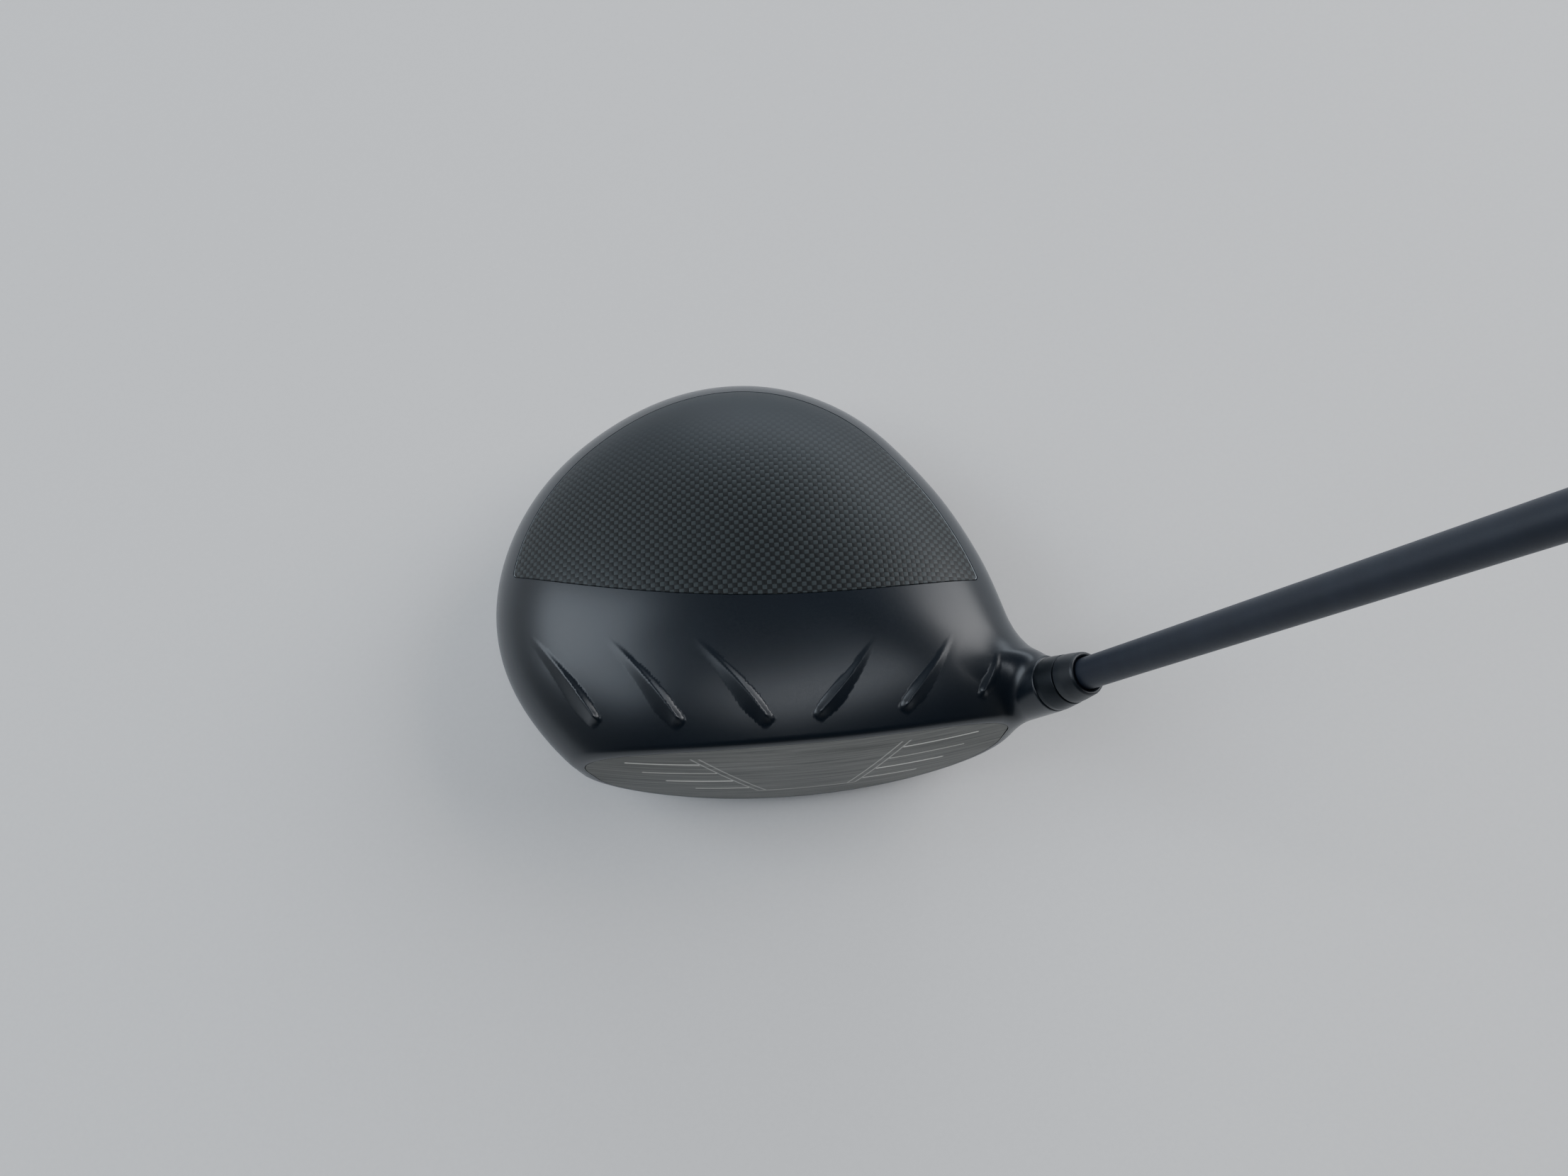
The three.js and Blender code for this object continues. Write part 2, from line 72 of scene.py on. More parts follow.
def node(tree, kind, inputs=None, **settings):
    # Adds a node. An input may be a value, a socket, or a node, which stands for its first output.
    made = tree.nodes.new("ShaderNode" + kind)
    for name, value in settings.items():
        setattr(made, name, value)
    for name, value in (inputs or {}).items():
        if isinstance(value, bpy.types.Node):
            value = next(output for output in value.outputs if output.enabled)
        if isinstance(value, bpy.types.NodeSocket):
            tree.links.new(value, made.inputs[name])
        else:
            made.inputs[name].default_value = value
    return made


def new_material(name):
    # An empty material, its node tree and the piece's own coordinates in metres.
    made = bpy.data.materials.new(name)
    made.use_nodes = True
    made.node_tree.nodes.clear()
    return made, made.node_tree, node(made.node_tree, "TexCoord").outputs["Object"]


def finish_material(tree, inputs):
    shader = node(tree, "BsdfPrincipled", inputs)
    node(tree, "OutputMaterial", {"Surface": shader})


CAMERA_AZIMUTH = math.radians(7.2)
CAMERA_ELEVATION = math.radians(72.84)
CAMERA_ROLL = math.radians(-12.0)
CAMERA_PLACE = Vector((0.0150, -0.0924, 0.3677))
CAMERA_LENS = 27.0

camera_data = bpy.data.cameras.new("studio_camera")
camera_data.lens = CAMERA_LENS
camera_data.sensor_width = 36
camera_data.clip_start = 0.01
camera = bpy.data.objects.new("studio_camera", camera_data)
bpy.context.scene.collection.objects.link(camera)
back = Vector((
    math.sin(CAMERA_AZIMUTH) * math.cos(CAMERA_ELEVATION),
    -math.cos(CAMERA_AZIMUTH) * math.cos(CAMERA_ELEVATION),
    math.sin(CAMERA_ELEVATION)))
level = Vector((math.cos(CAMERA_AZIMUTH), math.sin(CAMERA_AZIMUTH), 0))
upright = back.cross(level)
right = level * math.cos(CAMERA_ROLL) + upright * math.sin(CAMERA_ROLL)
above = back.cross(right)
camera.matrix_world = Matrix((
    (right.x, above.x, back.x, CAMERA_PLACE.x),
    (right.y, above.y, back.y, CAMERA_PLACE.y),
    (right.z, above.z, back.z, CAMERA_PLACE.z),
    (0, 0, 0, 1)))
bpy.context.scene.camera = camera

# The air is bright low down behind the head, dim overhead, and dim in front, where the golfer stands.
world = bpy.data.worlds.new("studio_air")
world.use_nodes = True
sky = world.node_tree
look = node(sky, "TexCoord").outputs["Generated"]
looking = node(sky, "SeparateXYZ", {"Vector": look})
behind = node(sky, "MapRange", {
    "Value": looking.outputs["Y"], "From Min": -0.75, "From Max": 0.35, "To Min": 0.06, "To Max": 0.6},
    interpolation_type="SMOOTHSTEP")
overhead = node(sky, "MapRange", {
    "Value": looking.outputs["Z"], "From Min": 0.25, "From Max": 0.9, "To Min": 1, "To Max": 0.1},
    interpolation_type="SMOOTHSTEP")
glow = node(sky, "Math", {0: behind, 1: overhead}, operation="MULTIPLY")
sky.links.new(glow.outputs[0], sky.nodes["Background"].inputs["Strength"])
sky.nodes["Background"].inputs["Color"].default_value = linear("#f2f5f8")
bpy.context.scene.world = world


def soft_light(name, place, target, size, power, tint="#ffffff"):
    data = bpy.data.lights.new(name, "AREA")
    data.shape = "RECTANGLE"
    data.size, data.size_y = size
    data.energy = power
    data.color = linear(tint)[:3]
    light = bpy.data.objects.new(name, data)
    light.location = place
    light.rotation_euler = (Vector(target) - Vector(place)).to_track_quat("-Z", "Y").to_euler()
    bpy.context.scene.collection.objects.link(light)


soft_light("rear_window", (0.5, 2.2, 0.75), (0, 0.05, 0.03), (2.4, 0.8), 16, "#e6f0fb")
soft_light("toe_panel", (-1.6, 0.35, 1.5), (0, 0, 0.03), (1.5, 1.5), 24, "#e6f0fb")
soft_light("heel_panel", (1.7, 0.6, 1.1), (0.1, 0, 0.03), (1.4, 1.4), 30, "#f4f4f6")
soft_light("top_strip", (0.1, -0.45, 2.6), (0, -0.1, 0), (1.5, 0.6), 10, "#eef3fa")


def paper_floor():
    # Matt paper: an even pale grey with a fibre grain that hardly shows.
    made, tree, place = new_material("pale_studio_paper")
    fibre = node(tree, "TexNoise", {"Vector": place, "Scale": 900, "Detail": 4})
    shade = node(tree, "MapRange", {"Value": fibre, "To Min": 0.86, "To Max": 0.92})
    colour = node(tree, "CombineColor", {
        "Red": shade, "Green": shade, "Blue": shade})
    finish_material(tree, {
        "Base Color": colour, "Roughness": 0.9})
    return made


FLOOR_HALF = 6
FLOOR_LEVEL = -0.0006
floor_mesh = bpy.data.meshes.new("studio_floor")
signs = ((-1, -1), (1, -1), (1, 1), (-1, 1))
floor_corners = [(x * FLOOR_HALF, y * FLOOR_HALF, FLOOR_LEVEL) for x, y in signs]
floor_mesh.from_pydata(floor_corners, [], [(0, 1, 2, 3)])
floor = bpy.data.objects.new("studio_floor", floor_mesh)
floor.data.materials.append(paper_floor())
bpy.context.scene.collection.objects.link(floor)

# ------------------------------------------------------------
# Head casting: thin titanium, investment cast in one piece with sole, skirt, hosel and the six
# air-flow ridges, polished, then sprayed satin black. The crown behind the seam is left open.
# Its form is a field of signed distances in millimetres, skinned and cut along its openings.
CROWN_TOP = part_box("head_body")[1][2] / MM
SKIRT_BAND = 6
PAD_CUT = 0.5
REAR_FROM = (-20, 60)
PLAN_POWER = (2.4, 1.9)
SIDE_POWER = (2, 1.7)
RIM_POINTS = [
    (66, -10, 40), (61.5, 8, 38), (55, 25, 36), (45.5, 42.5, 33), (31, 61, 31), (12, 74, 29.5),
    (-10, 79.6, 28), (-31, 77, 28), (-52, 67.5, 28), (-70, 51.5, 29), (-81, 32, 30), (-85, 11, 31),
    (-82, -8, 32), (-72, -27, 33), (-54, -45, 34), (-28, -57, 34), (0, -61, 35), (25, -58, 36),
    (48, -50, 38), (64, -38, 40), (68, -24, 41)]
LOFT = math.radians(10.5)
FACE_MID = (2, -46, 30)
BULGE_RADIUS = 330
ROLL_RADIUS = 300
LIE = math.radians(57)
AXIS_FOOT = np.array((38.0, -30.0, 0.0))
AXIS = np.array((math.cos(LIE), 0, math.sin(LIE)))
HOSEL_END = 64.6
HOSEL_RADIUS = 7.4
HOSEL_BORE = 5.9
HOSEL_FOOT = 24
HOSEL_FOOT_ROUND = 6
HOSEL_BLEND = 17
HOSEL_FACE_BLEND = 3
HOSEL_BLEND_FADE = (2, 16)
EDGE_ROUND = 1.4
BROKEN_EDGE = 0.5
PORT_RADIUS = 5.3
SEAT = 30
WEB_FOOT = 26.5
WEB_HOLE = 2.8
WEB_ROUND = 0.8
TRACK_CENTRE = (-14, 17)
TRACK_RADIUS = 50
TRACK_HALF = 6.5
TRACK_REACH = math.radians(13.75 + 16) + 0.012
TRACK_TOP = 19
TRACK_CORNER = 2
SLOT_HALF = 3.3
SLOT_SHORTER = 0.06
SLOT_RISE = 3
BADGE_MID = (-12, 33)
BADGE_HALF = (19, 8)
BADGE_SINK = 0.9
SOLE_BELOW = 20
CROWN_ABOVE = 38
FAR = 99
CUT_GAP = 0.25
CUT_ROUND = 0.9
INNER_ROUND = 0.3
SKIN_STEP = 0.6


def rim_waves(waves=14, samples=720):
    # A smooth closed curve through the rim's points, kept as a few waves round the head.
    points = np.array(RIM_POINTS, float)
    count = len(points)
    t = np.arange(samples) / samples * count
    i = t.astype(int)
    u = (t - i)[:, None]
    a, b, c, d = (points[(i + k) % count] for k in (-1, 0, 1, 2))
    bend = 2 * a - 5 * b + 4 * c - d
    twist = 3 * b - a - 3 * c + d
    curve = 0.5 * (2 * b + (c - a) * u + bend * u ** 2 + twist * u ** 3)
    angle = np.unwrap(np.arctan2(curve[:, 1], curve[:, 0]))
    even = np.arange(samples) / samples * 2 * math.pi
    found = []
    for values in (np.hypot(curve[:, 0], curve[:, 1]), curve[:, 2]):
        around = np.interp(even, angle, values, period=2 * math.pi)
        found.append(np.fft.rfft(around)[:waves] / samples)
    return found


RIM_REACH, RIM_HEIGHT = rim_waves()


def round_rim(waves, angle):
    total = np.full(np.shape(angle), waves[0].real)
    for k in range(1, len(waves)):
        total = total + 2 * (waves[k].real * np.cos(k * angle) - waves[k].imag * np.sin(k * angle))
    return total


def ease(value, low, high):
    t = np.clip((value - low) / (high - low), 0, 1)
    return t * t * (3 - 2 * t)


LEAST_SLOPE = 0.004


def head_swell(x, y, z):
    # Below 0 inside a rounded body that is fullest at the rim and squarer in front than behind.
    angle = np.arctan2(y, x)
    reach = round_rim(RIM_REACH, angle)
    edge = round_rim(RIM_HEIGHT, angle)
    rear = ease(reach * np.sin(angle), *REAR_FROM)
    inner = PLAN_POWER[0] + (PLAN_POWER[1] - PLAN_POWER[0]) * rear
    outer = SIDE_POWER[0] + (SIDE_POWER[1] - SIDE_POWER[0]) * rear
    low_edge = edge - SKIRT_BAND
    rise = np.maximum((z - edge) / (CROWN_TOP - edge), (low_edge - z) / (low_edge + PAD_CUT))
    return (np.hypot(x, y) / reach) ** inner + np.maximum(rise, 0) ** outer - 1


def head_distance(x, y, z):
    # Millimetres from the body's surface, flattened at the ground.
    d = 0.05
    here = head_swell(x, y, z)
    slope = [(head_swell(x + d, y, z) - here) / d, (head_swell(x, y + d, z) - here) / d,
             (head_swell(x, y, z + d) - here) / d]
    steep = np.sqrt(slope[0] ** 2 + slope[1] ** 2 + slope[2] ** 2)
    return np.maximum(here / np.maximum(steep, LEAST_SLOPE), -z)


def face_y(x, z):
    across = x - FACE_MID[0]
    rise = z - FACE_MID[2]
    curve = across ** 2 / (2 * BULGE_RADIUS) + rise ** 2 / (2 * ROLL_RADIUS)
    return FACE_MID[1] + math.tan(LOFT) * rise + curve


def smooth_max(a, b, soft):
    return np.maximum(a, b) + np.maximum(soft - np.abs(a - b), 0) ** 2 / (4 * soft)


def smooth_min(a, b, soft):
    return -smooth_max(-a, -b, soft)


def along_axis(x, y, z):
    along = (x - AXIS_FOOT[0]) * AXIS[0] + z * AXIS[2]
    off_x = x - AXIS_FOOT[0] - along * AXIS[0]
    off_z = z - along * AXIS[2]
    return along, np.sqrt(off_x ** 2 + (y - AXIS_FOOT[1]) ** 2 + off_z ** 2)


# Each ridge: tail, nose, height, width of its toe flank and of its heel flank, all at the nose.
RIDGES = [
    ((-70.3, -2.4), (-51.9, -27.9), 1.7, 4.2, 2.1), ((-46.6, -7.2), (-28.2, -31.2), 1.8, 4.4, 2.0),
    ((-21.9, -10.5), (-4.1, -32.9), 1.8, 4.4, 2.0), ((26.3, -14.9), (10.4, -33.0), 1.6, 2.6, 3.0),
    ((47.3, -14.8), (33.3, -32.7), 1.4, 2.4, 2.8), ((59.5, -19.9), (54.6, -30.1), 1.1, 2.3, 2.3)]


RIDGE_BOW = 0.7


def ridge_height(x, y):
    # A ridge rises from its tail, is sharp along its bowed crest and drops off at its nose.
    total = 0 * x * y
    for tail, nose, height, toe_width, heel_width in RIDGES:
        run = np.array(nose) - np.array(tail)
        length = np.hypot(*run)
        run = run / length
        a = ((x - tail[0]) * run[0] + (y - tail[1]) * run[1]) / length
        b = (x - tail[0]) * run[1] - (y - tail[1]) * run[0]
        b = b + RIDGE_BOW * np.sin(np.clip(a, 0, 1) * math.pi)
        grow = np.clip(a, 0.02, 1)
        nose_drop = 1 - ease(a, 1 - 0.4 / length, 1 + 2.4 / length)
        narrow = 1 - 0.4 * ease(a, 0.75, 1.05)
        width = np.where(b > 0, toe_width, heel_width) * (0.25 + 0.75 * grow) * narrow
        side = np.clip(1 - (np.sqrt(b ** 2 + 0.08) - 0.28) / width, 0, 1)
        total = total + height * ease(a, -0.05, 1.15) * nose_drop * side ** 1.25
    return total


def track_hollow(x, y, z, half_width, reach, top):
    off_x, off_y = x - TRACK_CENTRE[0], y - TRACK_CENTRE[1]
    radius = np.hypot(off_x, off_y)
    across = np.abs(radius - TRACK_RADIUS) - half_width
    ahead = (np.abs(np.arctan2(off_x, off_y)) - reach) * TRACK_RADIUS
    return smooth_max(smooth_max(across, ahead, TRACK_CORNER), z - top, INNER_ROUND)


def badge_reach(x, y):
    share = np.hypot((x - BADGE_MID[0]) / BADGE_HALF[0], (y - BADGE_MID[1]) / BADGE_HALF[1])
    return (share - 1) * BADGE_HALF[1]


def hollows(x, y, z, along, off, head):
    # Weight track with its slot, badge recess, bolt port, web hole and hosel bore.
    track = track_hollow(x, y, z, TRACK_HALF, TRACK_REACH, TRACK_TOP)
    slot = track_hollow(x, y, z, SLOT_HALF, TRACK_REACH - SLOT_SHORTER, TRACK_TOP + SLOT_RISE)
    badge = smooth_max(badge_reach(x, y) - CUT_GAP, -head - BADGE_SINK, 0.2) + (z > SOLE_BELOW) * FAR
    port = smooth_max(off - PORT_RADIUS, along - WEB_FOOT, WEB_ROUND)
    hole = np.maximum(off - WEB_HOLE, along - SEAT - 1)
    bore = smooth_max(off - HOSEL_BORE, SEAT - along, INNER_ROUND)
    nearest = track
    for cut in (slot, badge, port, hole, bore):
        nearest = np.minimum(nearest, cut)
    return nearest


def casting_distance(x, y, z):
    form = head_distance(x, y, z)
    head = smooth_max(form, face_y(x, z) - y, EDGE_ROUND)
    along, off = along_axis(x, y, z)
    hosel = smooth_max(off - HOSEL_RADIUS, HOSEL_FOOT - along, HOSEL_FOOT_ROUND)
    away = ease(y - face_y(x, z), *HOSEL_BLEND_FADE)
    blend = HOSEL_FACE_BLEND + (HOSEL_BLEND - HOSEL_FACE_BLEND) * away
    whole = smooth_min(head, hosel, blend)
    whole = np.where(z > CROWN_ABOVE, whole - ridge_height(x, y), whole)
    whole = smooth_max(whole, along - HOSEL_END, BROKEN_EDGE)
    return smooth_max(whole, -hollows(x, y, z, along, off, form), CUT_ROUND)


def skin_of(field, low, step):
    # One vertex in every grid cell that the surface passes through, one quad round every edge it cuts.
    cells = np.array(field.shape) - 1
    owners, places, rings = [], [], []
    for axis in range(3):
        n = field.shape[axis]
        a = np.take(field, np.arange(n - 1), axis)
        b = np.take(field, np.arange(1, n), axis)
        edge = np.argwhere((a < 0) != (b < 0))
        first = a[tuple(edge.T)]
        share = first / (first - b[tuple(edge.T)])
        point = edge.astype(float)
        point[:, axis] += share
        side_a, side_b = (axis + 1) % 3, (axis + 2) % 3
        ring = []
        for back_a, back_b in ((0, 0), (1, 0), (1, 1), (0, 1)):
            cell = edge.copy()
            cell[:, side_a] -= back_a
            cell[:, side_b] -= back_b
            ring.append(np.ravel_multi_index(cell.T, cells, mode="clip"))
            owners.append(ring[-1])
            places.append(point)
        ring = np.stack(ring, 1)
        ring[first > 0] = ring[first > 0][:, ::-1]
        rings.append(ring)
    ids, spot = np.unique(np.concatenate(owners), return_inverse=True)
    places = np.concatenate(places)
    weight = np.bincount(spot)
    verts = np.stack([np.bincount(spot, places[:, k]) / weight for k in range(3)], 1)
    quads = np.searchsorted(ids, np.concatenate(rings))
    return verts * step + low, np.concatenate([quads[:, (0, 1, 2)], quads[:, (0, 2, 3)]])


def slopes(distance, verts, d=0.02):
    found = []
    for k in range(3):
        shift = np.zeros(3)
        shift[k] = d
        found.append((distance(*(verts + shift).T) - distance(*(verts - shift).T)) / (2 * d))
    return np.stack(found, 1)


def settle(distance, verts, rounds=3, longest=0.15):
    for _ in range(rounds):
        slope = slopes(distance, verts)
        move = slope * (distance(*verts.T) / np.maximum((slope ** 2).sum(1), 0.05))[:, None]
        size = np.linalg.norm(move, axis=1)
        verts = verts - move * np.minimum(1, longest / np.maximum(size, 1e-9))[:, None]
    return verts


def relaxed(distance, verts, tris, rounds=3):
    # Evens the net out along the surface, so that it follows lips and corners without teeth.
    ends = np.concatenate([tris[:, (0, 1)], tris[:, (1, 2)], tris[:, (2, 0)]])
    shared = np.maximum(np.bincount(ends[:, 0], minlength=len(verts)), 1)[:, None]
    for _ in range(rounds):
        around = [np.bincount(ends[:, 0], verts[ends[:, 1], k], len(verts)) for k in range(3)]
        verts = settle(distance, verts + 0.6 * (np.stack(around, 1) / shared - verts), 1)
    return settle(distance, verts, 1)


def unit(vectors):
    return vectors / np.maximum(np.linalg.norm(vectors, axis=1), 1e-9)[:, None]


def trim(verts, tris, keep):
    # Cuts triangles along keep = 0 and drops what is below it.
    inside = keep > 0
    kept = [tris[inside[tris].all(1)]]
    mixed = tris[inside[tris].any(1) & ~inside[tris].all(1)]
    for _ in range(3):
        turn = ~(inside[mixed[:, 0]] & ~inside[mixed[:, 2]])
        mixed[turn] = np.roll(mixed[turn], 1, axis=1)
    a, b, c = mixed.T
    two = inside[b]
    other = np.stack([np.where(two, b, a), np.where(two, c, b)], 1)
    pairs = np.concatenate([np.stack([a, c], 1), other])
    keys, spot = np.unique(np.sort(pairs, 1), axis=0, return_inverse=True)
    spot = spot.reshape(-1)
    share = keep[keys[:, 0]] / (keep[keys[:, 0]] - keep[keys[:, 1]])
    fresh = verts[keys[:, 0]] + share[:, None] * (verts[keys[:, 1]] - verts[keys[:, 0]])
    on_ac = spot[:len(mixed)] + len(verts)
    on_other = spot[len(mixed):] + len(verts)
    one = ~two
    kept.append(np.stack([a[one], on_other[one], on_ac[one]], 1))
    kept.append(np.stack([a[two], b[two], on_other[two]], 1))
    kept.append(np.stack([a[two], on_other[two], on_ac[two]], 1))
    tris = np.concatenate(kept)
    used, tris = np.unique(tris, return_inverse=True)
    return np.concatenate([verts, fresh])[used], tris.reshape(-1, 3)


def rims_of(tris):
    # Ordered loops of the edges that only one triangle has.
    edges = np.concatenate([tris[:, (0, 1)], tris[:, (1, 2)], tris[:, (2, 0)]])
    codes = edges[:, 0].astype(np.int64) * 10 ** 7 + edges[:, 1]
    back_codes = edges[:, 1].astype(np.int64) * 10 ** 7 + edges[:, 0]
    following = dict(edges[~np.isin(codes, back_codes)].tolist())
    loops = []
    while following:
        start, current = following.popitem()
        loop = [start]
        while current != start and current in following:
            loop.append(current)
            current = following.pop(current)
        if current == start and len(loop) > 8:
            loops.append(np.array(loop))
    return loops


def strip(rings):
    # Joins rings of equal length, in order, into a band of triangles.
    count = len(rings[0])
    step = np.arange(count)
    after = (step + 1) % count
    tris = []
    for k in range(len(rings) - 1):
        low, high = k * count, (k + 1) * count
        tris.append(np.stack([low + after, low + step, high + step], 1))
        tris.append(np.stack([low + after, high + step, high + after], 1))
    return np.concatenate(rings), np.concatenate(tris)


def add_piece(name, parts, material, body, replaces=None, uv=None, sharp=0.6):
    # parts is a list of (vertices in mm, triangles, normals or None), which shade apart.
    verts, tris, normals, base = [], [], [], 0
    for points, faces, normal in parts:
        verts.append(points)
        tris.append(faces + base)
        normals.append(np.zeros_like(points) if normal is None else normal)
        base += len(points)
    verts = np.concatenate(verts)
    mesh = bpy.data.meshes.new(name)
    mesh.from_pydata((verts * MM).tolist(), [], np.concatenate(tris).tolist())
    if uv is not None:
        layer = mesh.uv_layers.new(name="cloth")
        corner = np.zeros(len(mesh.loops), np.int32)
        mesh.loops.foreach_get("vertex_index", corner)
        layer.data.foreach_set("uv", uv(verts)[corner].ravel())
    mesh.polygons.foreach_set("use_smooth", [True] * len(mesh.polygons))
    mesh.set_sharp_from_angle(angle=sharp)
    mesh.update()
    if any(part[2] is not None for part in parts):
        mesh.normals_split_custom_set_from_vertices(np.concatenate(normals).tolist())
    made = bpy.data.objects.new(name, mesh)
    bpy.context.scene.collection.objects.link(made)
    made.data.materials.append(material)
    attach(made, body)
    if replaces:
        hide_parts(replaces)
    return made


def satin_black_paint():
    # Sprayed satin black over titanium: a soft wide sheen, orange peel 0.8 mm across, faint dust.
    made, tree, place = new_material("satin_black_paint_on_titanium")
    cloud = node(tree, "TexNoise", {"Vector": place, "Scale": 45, "Detail": 5})
    speck = node(tree, "TexNoise", {"Vector": place, "Scale": 2600, "Detail": 2})
    peel = node(tree, "TexNoise", {"Vector": place, "Scale": 1300, "Detail": 3})
    paint = node(tree, "Mix", {
        "Factor": cloud, "A": linear("#0c131b"), "B": linear("#121b25")}, data_type="RGBA")
    shine = node(tree, "MapRange", {
        "Value": speck, "From Min": 0.3, "From Max": 0.7, "To Min": 0.28, "To Max": 0.34})
    bump = node(tree, "Bump", {"Height": peel, "Strength": 0.12, "Distance": 0.00004})
    finish_material(tree, {
        "Base Color": paint, "Roughness": shine, "Normal": bump,
        "IOR": 1.5, "Coat Weight": 0.15, "Coat Roughness": 0.3})
    return made


low = np.array((-92.0, -66.0, -2.0))
high = np.array((88.0, 86.0, 68.0))
axes = [np.arange(a, b, SKIN_STEP) for a, b in zip(low, high)]
skin, skin_tris = skin_of(casting_distance(*np.ix_(*axes)), low, SKIN_STEP)
skin = relaxed(casting_distance, settle(casting_distance, skin), skin_tris)

# The crown opening in plan: an arc in front, and behind it a line that follows the rim.
SEAM_MID = (17, -0.9)
SEAM_RADIUS = 247
SEAM_CORNER = 1.5
SEAM_ABOVE = 34
PANEL_REACH = 0.915
OUTSIDE = -20


def panel_inside(verts):
    x, y, z = verts.T
    seam = SEAM_RADIUS - np.hypot(x - SEAM_MID[0], y - SEAM_MID[1] - SEAM_RADIUS)
    angle = np.arctan2(y, x)
    side = PANEL_REACH * round_rim(RIM_REACH, angle) - np.hypot(x, y)
    inside = -smooth_max(-seam, -side, SEAM_CORNER)
    return np.where(z > SEAM_ABOVE, inside, OUTSIDE)


FACE_RIM = 1.6
FACE_GAP = 0.12
FACE_DEEP = 4
FACE_HEEL = 62


def insert_inside(verts):
    x, y, z = verts.T
    on_face = (y - face_y(x, z) < FACE_DEEP) & (x < FACE_HEEL)
    return np.where(on_face, -head_distance(x, face_y(x, z), z) - FACE_RIM, OUTSIDE)


def opening_walls(verts, tris, inside, moves):
    # Rings that follow an opening's edge: each move is (towards the opening's middle, depth).
    for loop in rims_of(tris):
        edge = verts[loop]
        if np.abs(inside(edge)).max() > 1:
            continue
        into = slopes(lambda x, y, z: inside(np.stack([x, y, z], 1)), edge)
        normal = unit(slopes(casting_distance, edge))
        into = unit(into - normal * (into * normal).sum(1)[:, None])
        rings = [edge + into * side - normal * depth for side, depth in moves]
        return strip(rings)
    raise ValueError("no edge found for an opening")


cast_verts, cast_tris = skin, skin_tris
walls = []
for inside, moves in (
        (panel_inside, ((0, 0), (0.12, 0.12), (0.14, 1.4), (5, 1.4), (5, 2.4), (0.2, 2.4))),
        (insert_inside, ((0, 0), (0.1, 0.1), (0.1, 3)))):
    cast_verts, cast_tris = trim(cast_verts, cast_tris, -inside(cast_verts))
    walls.append((*opening_walls(cast_verts, cast_tris, inside, moves), None))
paint = satin_black_paint()
add_piece("head_casting", [(cast_verts, cast_tris, unit(slopes(casting_distance, cast_verts))), *walls],
          paint, "head", "head_body")

# ------------------------------------------------------------
# Face insert: a forged titanium plate with bulge and roll, laser welded into the casting's front.
# It is fly-cut across, which leaves fine level tool lines, and its score lines are cut bright.
SCORE_MID = 3.6
SCORE_TOP = 43.5
SCORE_STEP = 6.6
SCORE_ROWS = 4
SCORE_WIDTH = 0.42
SCORE_DEPTH = 0.3
FRAME_TOP = (30.3, 47.5)
FRAME_FOOT = (14.3, 20.5)
FRAME_TWIN = 2.0
FRAME_WIDTH = 0.35
FRAME_DEPTH = 0.12
PLATE_THICK = 2.9


def score_reach(z):
    # Inner and outer ends of the score lines at a height, from the face's middle.
    inner = 28.6 - 0.59 * (SCORE_TOP - z)
    outer = 49.0 - 0.42 * (SCORE_TOP - z) - 0.022 * (SCORE_TOP - z) ** 2
    return inner, outer


def score_cut(x, z):
    row = np.clip(np.round((SCORE_TOP - z) / SCORE_STEP), 0, SCORE_ROWS - 1)
    level_z = SCORE_TOP - row * SCORE_STEP
    inner, outer = score_reach(level_z)
    across = np.abs(x - SCORE_MID)
    past = np.maximum(np.maximum(inner - across, across - outer), 0)
    off = np.hypot(np.abs(z - level_z), past)
    return np.clip(1 - off / SCORE_WIDTH, 0, 1)


def frame_cut(x, z):
    # A twin line round the strike zone: slanted sides and a level foot.
    lean = (FRAME_TOP[0] - FRAME_FOOT[0]) / (FRAME_TOP[1] - FRAME_FOOT[1])
    across = np.abs(x - SCORE_MID)
    side = (across - FRAME_FOOT[0] - lean * (z - FRAME_FOOT[1])) / math.hypot(1, lean)
    best = np.full(np.shape(x * z), float(FAR))
    for shift in (0, -FRAME_TWIN):
        slant = np.where((z > FRAME_FOOT[1]) & (z < FRAME_TOP[1]), np.abs(side - shift), FAR)
        best = np.minimum(best, slant)
    foot = np.where(across < FRAME_FOOT[0], np.abs(z - FRAME_FOOT[1]), FAR)
    return np.clip(1 - np.minimum(best, foot) / FRAME_WIDTH, 0, 1)


FACE_STEP = 0.24
grid_x, grid_z = np.meshgrid(np.arange(-66, 66, FACE_STEP), np.arange(4, 62, FACE_STEP), indexing="ij")
rows, columns = grid_x.shape
order = np.arange(rows * columns).reshape(rows, columns)
corner = [part.ravel() for part in (order[:-1, :-1], order[1:, :-1], order[1:, 1:], order[:-1, 1:])]
plate_tris = np.concatenate([np.stack(corner[:3], 1), np.stack([corner[0], corner[2], corner[3]], 1)])
x, z = grid_x.ravel(), grid_z.ravel()
plate = np.stack([x, face_y(x, z), z], 1)
plate, plate_tris = trim(plate, plate_tris, insert_inside(plate) - FACE_GAP)
scored = score_cut(plate[:, 0], plate[:, 2])
framed = frame_cut(plate[:, 0], plate[:, 2])
border = max(rims_of(plate_tris), key=len)
edge = plate[border]
face_normal = unit(slopes(lambda x, y, z: face_y(x, z) - y, edge))
inward = unit(slopes(lambda x, y, z: -head_distance(x, face_y(x, z), z), edge) * np.array((1, 0, 1)))
broken_edge = edge - inward * 0.06
plate_rim = strip([edge, broken_edge - face_normal * 0.1, broken_edge - face_normal * PLATE_THICK])
plate[:, 1] += SCORE_DEPTH * scored + FRAME_DEPTH * framed


